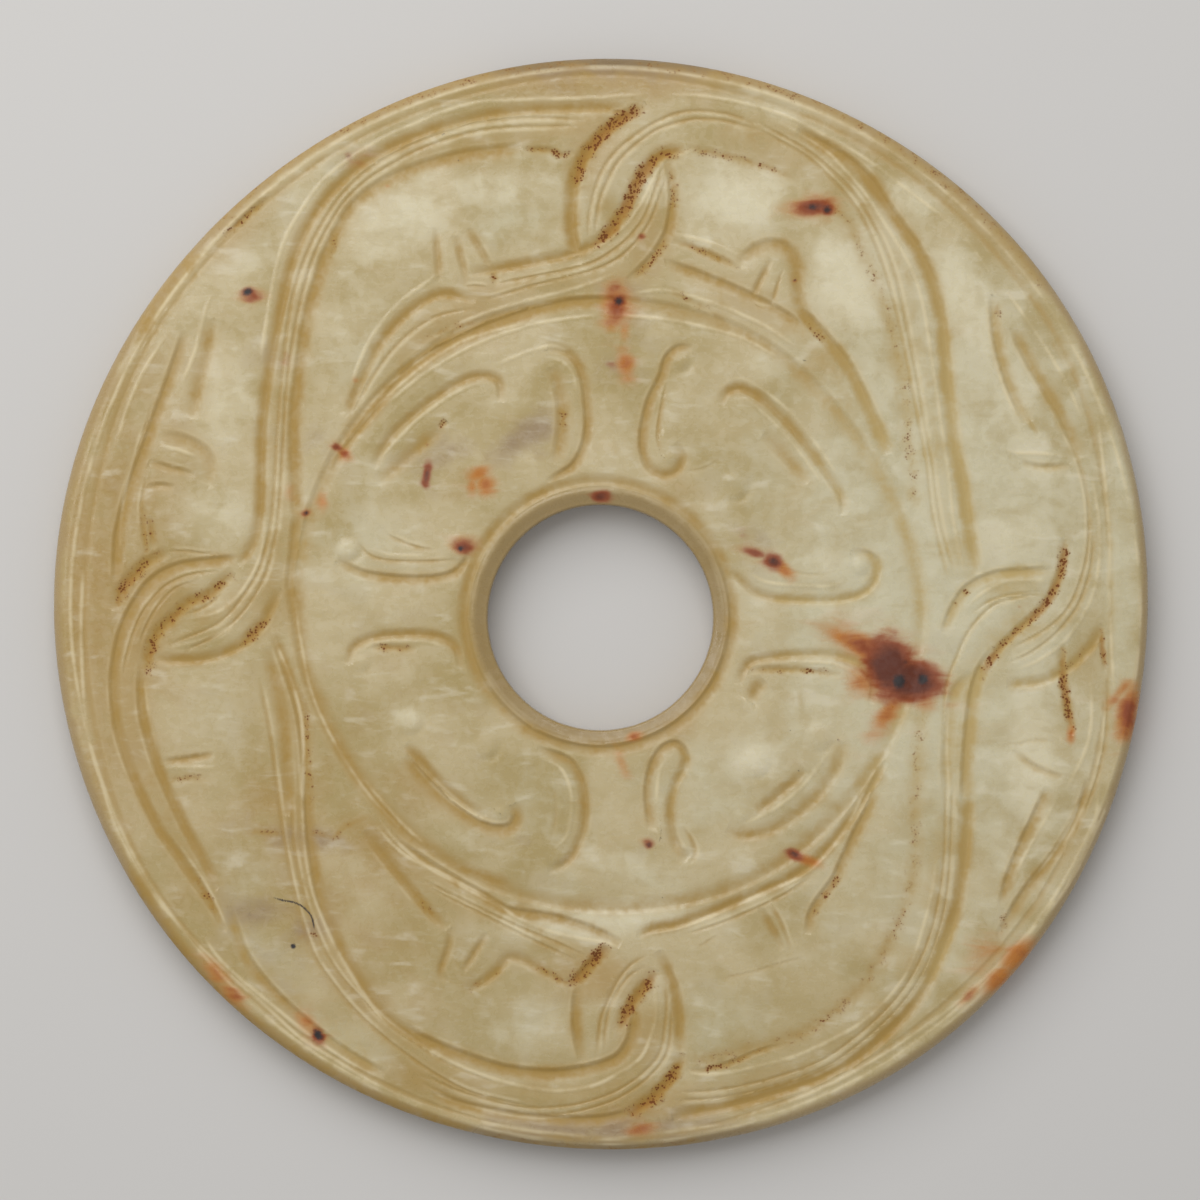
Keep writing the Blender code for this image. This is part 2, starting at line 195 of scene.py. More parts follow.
# Open lines: the cut, then the knots of its path
TOP_LEFT_STRAP = (
    (RIDGE, (4.5, 55.9), (-2, 55.5), (-10, 55.3), (-15, 54.8), (-20, 53), (-26, 50.1), (-30.5, 46.7),
     (-33.5, 42.7), (-35.2, 39.3), (-36.4, 34), (-37.6, 27)),
    (EDGE_L, (2.5, 54.7), (-8, 54.4), (-14, 53.6), (-20, 51.8), (-25.5, 49.1), (-29.5, 45.8),
     (-32.5, 41.8), (-34.3, 37.5), (-35.6, 32), (-36.8, 26), (-37.6, 19), (-37.8, 11), (-38.6, 6.8),
     (-40.2, 4.6)),
    (FINE_L, (-2, 53.1), (-6, 53.4), (-10, 53.3), (-15, 52.6), (-20, 50.9), (-23, 49.5), (-26.5, 47.2),
     (-29, 44.6), (-31, 41.6), (-32.5, 38.6), (-33.8, 35), (-34.6, 31), (-35.2, 26), (-35.8, 19),
     (-36.3, 11), (-37, 6.5), (-38.5, 2.6), (-42, -1.7), (-47.5, -4.2)),
    (FINE_L, (-2.8, 52.5), (-10, 52.4), (-15, 51.7), (-20, 50), (-23, 48.5), (-26, 46.6), (-28.5, 44.1),
     (-30.3, 41.3), (-31.7, 38.4), (-32.9, 34.6), (-33.9, 30), (-34.7, 25), (-35.1, 19), (-35.6, 11),
     (-36.3, 6.2), (-37.8, 1.9), (-41.2, -2.4), (-46, -5)),
    (BEVEL_R, (-9, 49.9), (-15, 49.2), (-20, 47.9), (-24, 46.2), (-27, 43.9), (-29, 41), (-30.4, 38),
     (-31.5, 34.5), (-32.4, 31), (-33, 27), (-33.5, 23), (-33.8, 19), (-33.6, 13), (-33.4, 9)),
    (NICK, (-3.2, 49.7), (-4.6, 49.3), (-6, 49.8), (-9, 49.9)),
    (NICK, (-29.1, 40.9), (-29.6, 39.2), (-30.1, 37.8)),
)
TOP_RIGHT_STRAP = (
    (RIDGE, (7, 55.8), (12, 55.6), (19, 53.9), (25, 51), (29, 48.6), (33, 45.6), (37, 42.5), (40, 39.6),
     (42.5, 36)),
    (DARK_L, (21, 51.9), (25, 49.6), (27.2, 48.1), (29, 46.3), (30.5, 44), (32, 41.9), (33.8, 39.4),
     (35.1, 37), (36, 34.5), (36.7, 31.5), (37.1, 28), (37.4, 24.5), (38.1, 18), (39, 14), (39.5, 10),
     (40.2, 6), (40.6, 3.4)),
    (RIDGE, (19, 52.9), (24, 50), (26.6, 47.4), (28.5, 45.2), (30.2, 42.6), (32.6, 38.8), (34, 36),
     (34.9, 33), (35.6, 29), (36.2, 25), (36.9, 20), (37.8, 14), (38.3, 9), (39.5, 3.5)),
    (FINE_L, (17, 52.7), (22, 49.9), (25, 47.5), (27.6, 44.8), (29.3, 42), (30.8, 39), (32, 35.5),
     (33, 31), (34, 26), (35, 20), (35.8, 16), (36.3, 12), (37, 8), (38.4, 3.4)),
    (FINE_L, (17, 52), (22, 49.2), (24.8, 46.7), (27.2, 44), (28.8, 41.3), (30.2, 38), (31.3, 34.5),
     (32.4, 30), (33.4, 25), (34.4, 20), (35.3, 15), (35.9, 10), (36.8, 6), (37.6, 3)),
    (SPECKED, (8.6, 50), (12, 49.5), (16, 48.5), (19, 47.5), (21.5, 46.2)),
    (SOFT, (24, 45), (26.5, 42), (28.5, 38.5), (30.2, 34.5), (31.5, 30), (32.6, 25), (33.3, 18),
     (34.2, 10)),
)
TOP_KNOT = (
    (DARK_L, (4.6, 54.9), (2, 53.6), (-0.3, 51.7), (-2, 49.7), (-3.2, 47.3), (-3.7, 44.5), (-3.7, 41),
     (-3, 37.2)),
    (RUSTED, (4.4, 54.7), (1.4, 53.2), (-0.2, 51.8), (-1.8, 50), (-2.9, 47.6), (-3.4, 45.6)),
    (NICK, (0, 54.4), (1.8, 54), (4, 54.6)),
    (FINE_L, (17, 52.7), (13, 53.9), (9, 54.1), (5.6, 52.9), (3, 51.2), (1, 49.4), (-0.4, 47.3),
     (-1.2, 45), (-1.7, 42.5), (-1.8, 40)),
    (FINE_L, (17, 52), (13, 53.1), (9.5, 53.2), (6, 52.2), (3.6, 50.6), (1.7, 48.8), (0.5, 46.8),
     (-0.4, 44.6), (-0.9, 42.2), (-1.1, 40.2)),
    (RUSTED, (9, 50), (7, 49.7), (5.4, 48.9), (4.2, 47.6), (3.3, 46), (2.3, 43.8), (1, 41.6),
     (-0.4, 40.2), (-1.8, 39.3)),
    (EDGE_L, (0, 40.2), (-3, 38.8), (-6, 38.1), (-10, 37.3), (-15, 36.5)),
    (RIDGE, (10.5, 50.2), (8.5, 49.4), (7, 49.1), (5.9, 47.6), (4.4, 44.6), (3, 42.4), (0.9, 40.3),
     (-1.5, 38.9), (-5, 37.8)),
    (EDGE_R, (7, 49), (7.5, 47), (7.7, 45), (7.6, 43), (7.2, 41), (6.3, 39.2), (5.2, 37.7), (4, 36.5),
     (2.7, 35.3)),
    (SPECKED, (7.3, 48), (7.7, 45), (7.4, 42)),
    (NICK, (7, 40.4), (5.8, 38.4), (4, 36.4), (2.9, 35.4)),
    (FINE_R, (6.5, 48), (5.5, 45.2), (4.8, 43.2), (3.9, 41.6), (2.8, 40.3), (1.3, 39), (-1, 37.6),
     (-4, 36.7), (-8, 35.9), (-12, 35.1)),
    (FINE_R, (7, 47), (6.1, 44.7), (5.4, 42.7), (4.4, 40.9), (3.2, 39.4), (1.6, 38), (-0.8, 36.8),
     (-4, 35.9), (-8, 34.9), (-13, 33.4)),
    (RIDGE, (1.5, 36.4), (-1, 35.4), (-4.2, 34.4), (-9, 33.2), (-14, 31.6), (-18, 29.9)),
    (DARK_R, (3, 33), (-2, 33.1), (-6, 32.5), (-11, 31), (-16, 28.9), (-20, 26.6), (-23.5, 23.8)),
    (SPECKED, (-13, 31.1), (-16, 30.6), (-20, 29.2)),
    (RIDGE, (-0.5, 31.8), (-6, 31.1), (-10, 30.1), (-15, 28.1), (-20, 25.1), (-24, 21.8)),
    (RIDGE, (0, 31.8), (5, 31.5), (10, 30.7), (15, 29.3), (19, 27.2)),
    (RIDGE, (3, 34.2), (7, 34.4), (12, 33), (17, 30.9), (21, 28.4)),
    (NICK, (7.4, 39.9), (10, 39.1), (12.5, 38), (15, 36.8)),
    (RIDGE, (7.4, 40.6), (10.5, 40), (13.5, 38.9), (15.6, 37.8)),
    (EDGE_L, (6.6, 37.4), (10, 36.2), (13, 35), (16, 33.7), (19, 32.1), (22, 30.2)),
    (SPECKED, (6.5, 34.9), (9, 33.6), (12, 32)),
    (BEVEL_L, (15.2, 37), (15.6, 38), (16.9, 39), (18.6, 39.4), (20.1, 38.7), (20.9, 37), (21, 35),
     (21.3, 33), (22.3, 31.2)),
    (DARK_L, (20.6, 33.2), (22, 31.5), (24, 29.3), (26.2, 26.6), (27.8, 23.7), (29.5, 20), (31, 16.4)),
    (SPECKED, (21.2, 31.9), (23, 29.9), (25, 28)),
    (STROKE, (18.3, 38), (17.1, 35.6), (15.9, 33.1)),
    (FINE_L, (19.6, 37), (18.8, 34.6), (18.2, 32.5)),
    (FINE_L, (15.8, 33.2), (17, 32.6), (18.3, 32.3)),
    (STROKE, (-18.4, 41.4), (-18.3, 38.5), (-18, 35.3)),
    (STROKE, (-16.3, 40.5), (-15.6, 37.7), (-15, 35)),
    (STROKE, (-15, 41.3), (-13.6, 39), (-12.2, 36.5)),
    (NICK, (-12.3, 36.6), (-11.7, 35.2)),
    (FINE_L, (-15.2, 34.9), (-13.8, 34.9), (-12.6, 34.7)),
    (RIDGE, (-17.4, 36.8), (-19, 35.6), (-22, 33.4), (-25, 30), (-26.8, 26.5), (-28, 22.5)),
    (EDGE_L, (-14, 33.6), (-18, 34.2), (-21.5, 32.2), (-24.6, 28.8), (-26.6, 25), (-28.2, 21)),
    (FINE_L, (-14, 32.6), (-18.5, 31.6), (-22, 29.2), (-25, 25.6), (-27.6, 21)),
)
LEFT_SIDE = (
    (NICK, (-36.2, 44.9), (-38, 43.5), (-40, 41.8), (-42, 40)),
    (BEVEL_R, (-43.5, 39), (-46.3, 36), (-49, 32.2), (-51, 28)),
    (RIDGE, (-43, 34), (-43.8, 31.5), (-44.7, 28), (-46.3, 24)),
    (BEVEL_L, (-43, 31.5), (-43.5, 28.5), (-44.5, 24.5), (-45.4, 20.5)),
    (RIDGE, (-48, 29.5), (-50.5, 25.5), (-52.2, 21.5), (-53.5, 17)),
    (EDGE_R, (-45.6, 30), (-47.3, 25), (-49, 20.4), (-50.6, 16), (-52, 12), (-53, 8), (-53.2, 5),
     (-53.2, 2.5)),
    (FINE_R, (-49.5, 21.5), (-51, 16.5), (-52.3, 11), (-52.7, 4.5)),
    (FINE_R, (-50, 14), (-50.6, 11), (-50.4, 8), (-49.8, 4.8)),
    (NICK, (-50.5, 11), (-50.3, 7.5), (-49.8, 5)),
    (NICK, (-49.8, 9.8), (-49.5, 7.8), (-49.3, 6)),
    (BEVEL_L, (-48.7, 18.4), (-46.5, 18.1), (-44.6, 17.3), (-43.5, 16.2), (-43.3, 14.8), (-43.8, 13.3)),
    (RIDGE, (-48.6, 17.5), (-46.5, 17), (-44.6, 16.3)),
    (STROKE, (-49.8, 15.7), (-47.5, 15), (-44.8, 14.3)),
    (STROKE, (-50, 12.9), (-48.6, 13.1), (-47, 12.9)),
    (RIDGE, (-50.3, -8), (-49.8, -12), (-48.9, -15.6)),
    (FINE_L, (-50.2, -9), (-50, -13), (-49.1, -16.2)),
    (STROKE, (-48.3, -17.1), (-45.5, -16.8), (-42.6, -16.3)),
    (SPECKED, (-49, -19.2), (-46.5, -19), (-43, -18.8)),
    (RIDGE, (-48.6, -17.9), (-45, -17.7), (-42, -17.9)),
    (RIDGE, (-57, 4), (-57.2, -2), (-57, -9), (-56.3, -15), (-54.8, -20), (-53.5, -24), (-51.5, -28),
     (-49, -32), (-46, -35.5), (-43, -38.5), (-40, -41.3), (-36, -44.8), (-33, -47.5), (-29, -50),
     (-25, -52.4), (-20, -54.6), (-14, -56.4)),
)
LEFT_KNOT = (
    (EDGE_R, (-40, 5), (-44, 4.6), (-47, 4), (-49.5, 2.5), (-51.3, 0), (-52.5, -2.5), (-53.3, -6),
     (-53.5, -9), (-53.1, -13), (-52, -16.8), (-50.5, -20.5), (-48.5, -24.5), (-46.5, -27.3),
     (-44.5, -30.2), (-42.5, -33), (-41.2, -35.5)),
    (FINE_L, (-48.2, 5.9), (-46, 5.9), (-44, 5.7), (-42, 5.5)),
    (WEDGE, (-47.6, 6), (-50, 4.9), (-51.5, 3.5), (-52.8, 2), (-53.7, -0.6)),
    (FINE_R, (-42, 3.7), (-45, 3.4), (-47.5, 2.4), (-49.3, 0.8), (-50.8, -1.5), (-52, -4.8),
     (-52.6, -8)),
    (FINE_R, (-44.5, 2.7), (-46.8, 1.9), (-48.4, 0.4), (-49.8, -1.8), (-50.9, -4.6)),
    (WEDGE, (-40.6, 3.8), (-42.2, 2.3), (-43.6, 1.2), (-45.5, 0.5), (-47.3, -1.2), (-48.9, -2.8),
     (-49.9, -5), (-50.3, -8)),
    (EDGE_R, (-50.3, -6), (-50.5, -9), (-50.3, -12), (-49.8, -14), (-48.9, -17), (-47.5, -20.4),
     (-45.8, -24), (-43.8, -27.6), (-42, -31)),
    (RIDGE, (-37, 9), (-37.6, 5.5), (-38.8, 2.8), (-40.8, 0.2), (-43, -1), (-45.8, -1.6)),
    (FINE_R, (-46.3, -0.9), (-45, -0.7), (-43.5, 0), (-41.8, 1.4)),
    (RIDGE, (-38.4, 0.2), (-40, -1.6), (-42, -3), (-44.5, -4), (-48.2, -4.7)),
    (EDGE_L, (-35.6, 2), (-37, -1), (-39, -3.6), (-41.5, -5), (-44, -5.7), (-47, -5.8), (-49.6, -5.6)),
    (WEDGE, (-36.8, -1), (-38.3, -2.8), (-40.2, -4.3)),
    (RIDGE, (-36.4, -2.2), (-35.7, -4.6), (-34.3, -8), (-33.2, -12), (-32.9, -16), (-33, -21),
     (-32.8, -26), (-32, -31), (-30.5, -35), (-28.5, -39), (-26, -43), (-23.5, -46.3)),
    (EDGE_R, (-36, -3), (-34.8, -6.5), (-33.6, -10), (-32.8, -14), (-32.4, -19), (-32, -25),
     (-31, -31.5), (-29.5, -35.5), (-28, -38.7), (-26, -42), (-24.3, -44.4), (-21.5, -46.6),
     (-18, -48.6)),
    (BEVEL_L, (-37, -4.5), (-36, -9), (-35.2, -13), (-34.9, -18), (-34.7, -23)),
    (FINE_L, (-37.8, -8), (-36.6, -14), (-35.8, -20), (-35, -26), (-33.8, -32), (-32, -37.8),
     (-30, -41), (-27.6, -44), (-25, -46.5), (-22, -48.9), (-18, -51.6), (-14, -53.5), (-8, -54.9)),
    (FINE_L, (-34.2, -20), (-34, -26), (-32.8, -32), (-31, -37), (-29, -40.4), (-26.7, -43),
     (-24, -45.6), (-21, -47.8), (-17, -50.2), (-12, -52.3)),
    (SPECKED, (-32.7, -10), (-32.4, -14), (-32.3, -19), (-32.1, -22)),
)
LEFT_RING = (
    (BEVEL_R, (-33.3, 11), (-33.7, 6), (-34, 2), (-33.3, -3), (-32.2, -8), (-30.4, -12.5), (-28, -16.8),
     (-25.2, -20.6), (-21.8, -24.4), (-18, -27.2), (-14, -29.3), (-9, -31)),
    (RIDGE, (-33.9, 1), (-33, -5), (-32, -9.5), (-30.3, -13.5), (-28, -17.5), (-25.5, -21),
     (-22, -24.8)),
    (RIDGE, (-24.5, -23.5), (-22.5, -26), (-19.5, -28.5), (-15, -31), (-10, -33.8)),
    (RIDGE, (-29, 17), (-26, 20.5), (-22.5, 24), (-18, 27.5), (-14, 29.5), (-8, 31)),
    (FINE_R, (-28, 19.5), (-25, 23.2), (-21, 26.8), (-17, 29.3)),
    (EDGE_R, (-30.5, 14), (-28.5, 17.5), (-25.5, 21.2), (-22, 25.5), (-19, 28)),
)
BOTTOM_LEFT = (
    (NICK, (-44.9, -29.5), (-43.4, -31.8), (-42, -34)),
    (RIDGE, (-47.5, -25), (-45, -28.3), (-43, -31.5), (-41.3, -35.2)),
    (EDGE_L, (-41.4, -33), (-40.5, -35.5), (-39.8, -37.5), (-38.6, -39.6), (-36, -42.7), (-32, -46.3),
     (-28, -49.2), (-24, -51.5)),
    (RIDGE, (-44, -36), (-41.5, -39.3), (-36, -44), (-32, -47.2), (-28, -49.9), (-24, -52)),
    (RIDGE, (-26.3, -19), (-24.5, -21.2), (-22, -24), (-19.5, -26.2)),
    (EDGE_R, (-26, -24.5), (-24, -27.3), (-22, -29.8), (-20, -32.2), (-18.6, -33.8), (-17, -35.3)),
    (SPECKED, (-21, -30.6), (-19.6, -32.8), (-18, -34.4)),
    (RIDGE, (-25, -24), (-23, -26.3), (-21, -27.8), (-18, -29.2), (-15, -30.8), (-12, -32.4),
     (-9.8, -34), (-7, -35.3), (-4, -36.2), (0, -36.9), (1.4, -37.4), (3, -38.3)),
    (EDGE_L, (-22.8, -26), (-20, -27.9), (-17, -29.8), (-13.5, -31.8), (-10.5, -33.5), (-6, -34.2),
     (-2.5, -35.2), (0, -36.2), (1.8, -37.2)),
    (STROKE, (-16.8, -35.2), (-17.1, -37.5), (-17.9, -40), (-17.2, -41.3)),
    (STROKE, (-12.8, -35.7), (-14.2, -38), (-15.6, -40.2)),
    (EDGE_R, (-15, -41.9), (-13.2, -41), (-11.6, -39.6), (-10.6, -38.4), (-8.8, -38.6), (-6.6, -39.8),
     (-4.4, -41.1)),
    (NICK, (-11.4, -39.8), (-13.3, -41), (-15, -42.2)),
    (FINE_L, (-20, -30), (-15, -32.5), (-10, -34.9), (-5, -37), (-2, -38.4)),
    (FINE_L, (-19, -31), (-14, -33.5), (-8.5, -36.3), (-3, -38.9)),
)
BOTTOM_KNOT = (
    (NICK, (-8, -39.1), (-6, -40.2), (-4.4, -41.2), (-3, -41.4)),
    (RUSTED, (-4.2, -41.6), (-2.8, -41), (-1.8, -39.9), (-0.6, -38.6), (0.8, -37.2)),
    (EDGE_R, (-2.5, -41.3), (-2.9, -43.5), (-2.9, -46), (-2.6, -48), (-2, -50)),
    (FINE_L, (5, -38), (3, -39.2), (1.5, -41), (0.5, -43), (-0.3, -45), (-0.7, -47.5), (-0.9, -49.7)),
    (FINE_L, (4.6, -39.3), (2.6, -40.6), (1.2, -42.6), (0.4, -44.6), (0, -47), (0, -48.8)),
    (RUSTED, (5.7, -39.8), (4.5, -41.3), (3, -43.3), (2.1, -45), (1.2, -46.6)),
    (DARK_R, (3.2, -43.6), (3.5, -45.4), (3.2, -47.3), (2.5, -48.7), (1.4, -49.8), (-1, -50.7),
     (-5, -51.4), (-8, -51.3), (-11, -50.9), (-14, -50), (-17, -48.9), (-20, -47.6), (-22, -46.3)),
    (RIDGE, (-21, -47.7), (-18, -49.5), (-15, -50.8), (-11, -52.1), (-7, -53), (-4, -53.1), (-1, -52.5),
     (2, -51), (4, -49.5), (5, -47.5), (5.7, -45), (5.6, -42.5), (5.2, -41)),
    (FINE_R, (-20, -51.2), (-16, -53), (-12, -54.2), (-8, -54.9), (-4, -54.7), (-1, -54), (1.5, -53),
     (4, -51.3), (6, -49), (6.6, -46), (6.8, -43), (6.5, -40.5)),
    (FINE_R, (-20, -52.2), (-16, -54), (-12, -55), (-8, -55.7), (-4, -55.5), (-0.6, -54.7), (2, -53.6),
     (4.7, -51.7), (6.7, -49.2), (7.3, -46), (7.4, -43)),
    (EDGE_L, (5.8, -37.8), (6.8, -40), (7.6, -42), (8, -44.5), (8.1, -47), (8.2, -49)),
    (RUSTED, (8.5, -48.8), (7.6, -51), (6, -53), (4, -54.7), (2, -55.8)),
    (EDGE_R, (3.5, -55.2), (1.5, -56), (-1, -56.4), (-5, -56.4), (-10, -55.9), (-15, -54.9),
     (-19, -53.5)),
    (RIDGE, (-17, -55.5), (-13, -56.6), (-8, -57.5), (-4, -58), (0, -58.4), (4, -58.1), (8, -57.5),
     (13, -56.8)),
    (RIDGE, (8.7, -50.2), (10, -51.3), (13, -51.2), (17, -50.4), (21, -49.3), (26, -47), (29, -45),
     (31.5, -42.5), (33.5, -39.5), (35, -35), (36, -31), (36.5, -27)),
    (NICK, (9, -50.8), (11, -50.8), (14, -50), (17, -48.7), (20, -47.9)),
    (FINE_R, (8, -53.2), (12, -53), (16, -52.3), (20, -51.2), (24, -49.6), (27.7, -47), (31, -44),
     (33.6, -40.6), (35.5, -36.4), (36.6, -32), (37.2, -27), (37.3, -20), (37.1, -15), (37.4, -9),
     (38.6, -5.5), (40, -2.6), (42.5, 0), (45, 0.8), (48, 1.4)),
    (FINE_R, (7.5, -54.1), (12, -53.9), (16, -53.2), (20, -52.1), (24.4, -50.4), (28.3, -47.6),
     (31.8, -44.4), (34.5, -40.8), (36.3, -36.6), (37.4, -32), (37.9, -26), (38, -19)),
    (DARK_L, (39.7, -20), (39.4, -26), (38.9, -30), (38.1, -34), (36.8, -37.6), (35.3, -41),
     (33, -44.4), (30, -47.4), (27, -49.7), (23, -51.7), (19, -53), (15, -54.2), (11, -55),
     (7.4, -55.7)),
    (SOFT, (9, -50.2), (17, -48.2), (20, -47.4), (24, -45.4), (26.6, -43.2), (28.7, -41), (31, -37.3),
     (32.8, -33), (33.8, -29), (34, -24), (34.1, -19), (34.4, -15), (35.3, -10)),
    (SPECKED, (20, -48), (23.8, -45.7), (26.2, -43.8)),
    (SPECKED, (30.3, -38.7), (32.2, -34.6), (33.6, -30.8)),
    (EDGE_R, (3.5, -36), (5, -35.3), (8, -34.7), (12, -33.3), (16, -31.6), (20, -29.8), (23, -27.8),
     (26, -24.4), (28.6, -20.5), (30.6, -16.8)),
    (RIDGE, (4.5, -36), (8, -35.4), (11, -34.3), (15, -32.6), (18, -31.2), (21.5, -29.7), (24, -27.6),
     (26.5, -24.4), (28.2, -21), (29.6, -18)),
    (FINE_L, (9, -36), (13, -34.7), (17, -33), (20, -31.5), (22.6, -29.8)),
    (STROKE, (16.8, -32.8), (18.2, -35), (19.6, -37.8)),
    (FINE_L, (18, -32.4), (19.4, -34.9), (20.5, -38)),
    (FAINT, (12, -41), (16, -40.2), (19, -39.3), (22.5, -38.4)),
    (FAINT, (10, -37.6), (13, -35.8)),
    (EDGE_R, (29.8, -19.6), (29.2, -22), (27.7, -25), (26.4, -27.8), (25.4, -30), (24, -31.9),
     (22.9, -33.7), (22.5, -36)),
    (NICK, (26.2, -28.4), (25.2, -30.4), (23.9, -32.1), (22.9, -34)),
)
RIGHT_KNOT = (
    (EDGE_L, (37.3, -3.2), (38, -1.2), (38.7, 0.2), (39.7, 1.6), (41, 2.5), (42.5, 3.1), (44, 3.4),
     (49.3, 3.7)),
    (NICK, (38.3, -0.4), (39.3, 1), (40.2, 2)),
    (RIDGE, (39.5, -0.4), (41.2, 1.2), (43, 2.2), (44.6, 2.7), (48.8, 2.7)),
    (FINE_R, (40, -1), (42, 0.4), (44, 1.1), (48, 1.6)),
    (CLEFT, (50.3, 7.4), (50.2, 5.4), (49.8, 3.5), (49, 1.5), (47.8, -0.3), (46, -1.9), (44.5, -3.3),
     (43, -4.9), (41.8, -6.6), (41, -8.2)),
    (DARK_R, (43, -4.9), (41.8, -6.5), (41, -8.2), (40.6, -10), (40.3, -12), (40, -15), (39.8, -18),
     (39.7, -22)),
    (FINE_R, (50, 20), (51.6, 16.8), (52.8, 12.6), (53.1, 8), (52.7, 4.5), (51.4, 0.7), (49.9, -1.4),
     (48, -2.9), (46, -4), (44.5, -4.8)),
    (FINE_R, (53.6, 8), (53.3, 4.2), (52.2, 0.6), (50.8, -1.6), (48.9, -3.6), (46.5, -5.3), (44, -6.4)),
    (RIDGE, (53.4, 14), (54.2, 9), (54.1, 4), (53.2, 0.4), (51.6, -2.4), (49.8, -4.5), (47.4, -6.1),
     (45.2, -7)),
    (EDGE_L, (54.4, -2), (53.5, -3.9), (52.5, -5.1), (51, -6.5), (49.5, -7.4), (47.5, -8.2),
     (44, -8.5)),
    (RUSTED_NICK, (54.3, -2), (54.5, -4.6), (55, -7.2)),
    (SPECKED, (54, -2.8), (52.6, -5), (50.6, -6.9)),
    (CLEFT, (50, -4.2), (50.1, -7), (50.3, -9.4), (50.8, -12), (51.2, -14.2)),
    (RIDGE, (53.2, -7.6), (53.4, -11), (53.1, -14.4), (52, -17.4), (50.5, -20.4)),
    (FINE_R, (55.2, -7), (55.1, -12), (54.7, -16), (53.6, -20), (52, -24), (50, -27.4)),
    (BEVEL_R, (40.4, -7.6), (38.6, -9.6), (38, -13), (37.7, -17), (37.9, -21)),
    (RIDGE, (54, 21), (54.8, 14), (55.3, 8), (55.3, 2), (55.5, -4), (55.9, -10)),
)
RIGHT_SIDE = (
    (RIDGE, (43.5, 17.2), (45.2, 16.7), (48, 16.6), (51, 16.2)),
    (STROKE, (45.5, 15.6), (48, 15.1), (51, 15.3)),
    (FINE_L, (46, 21), (46.8, 19.6), (47.6, 18.4)),
    (STROKE, (44.7, -15.8), (46.6, -17.4), (49, -18.5), (50.3, -18.8)),
    (FAINT, (44.5, -15.6), (47, -14.8), (49.5, -15)),
    (EDGE_R, (42.7, 34), (43, 30), (43.8, 26.5), (45, 23), (46.6, 20)),
    (SPECKED, (43.2, 33.6), (43, 31.2)),
    (RIDGE, (42.5, 28), (43.7, 24), (45.2, 20.5)),
    (EDGE_R, (44.8, 30.5), (46.8, 26.5), (48.9, 23), (50.6, 20), (52.2, 16)),
    (FAINT, (48, 31), (50, 27), (51.5, 24.4)),
    (RIDGE, (44, 34.5), (47.5, 29.5), (50.5, 24.5), (52.3, 20.5)),
    (EDGE_R, (53.3, -19), (52.2, -22.5), (50.6, -25.6), (48.6, -28.4), (46.5, -31), (44.6, -34),
     (43.3, -36.4)),
    (RIDGE, (52.3, -20.5), (51, -24), (49, -27.3), (46, -31)),
    (EDGE_R, (48.8, -20), (47.4, -23), (46, -26), (44.6, -29.4), (43.6, -33)),
    (RIDGE, (50, -20.4), (48.2, -23.6), (46.6, -26.4), (45, -29.4)),
    (SPECKED, (43.9, -33.2), (43.4, -36)),
    (RIDGE, (54.3, -19), (53.6, -25), (52.1, -28.5), (50, -31.8), (47, -35.4), (44.5, -38), (42, -40.5),
     (38, -44), (34, -46.9), (30, -49.5), (25, -52.3), (20, -54.4), (14, -56.3)),
)
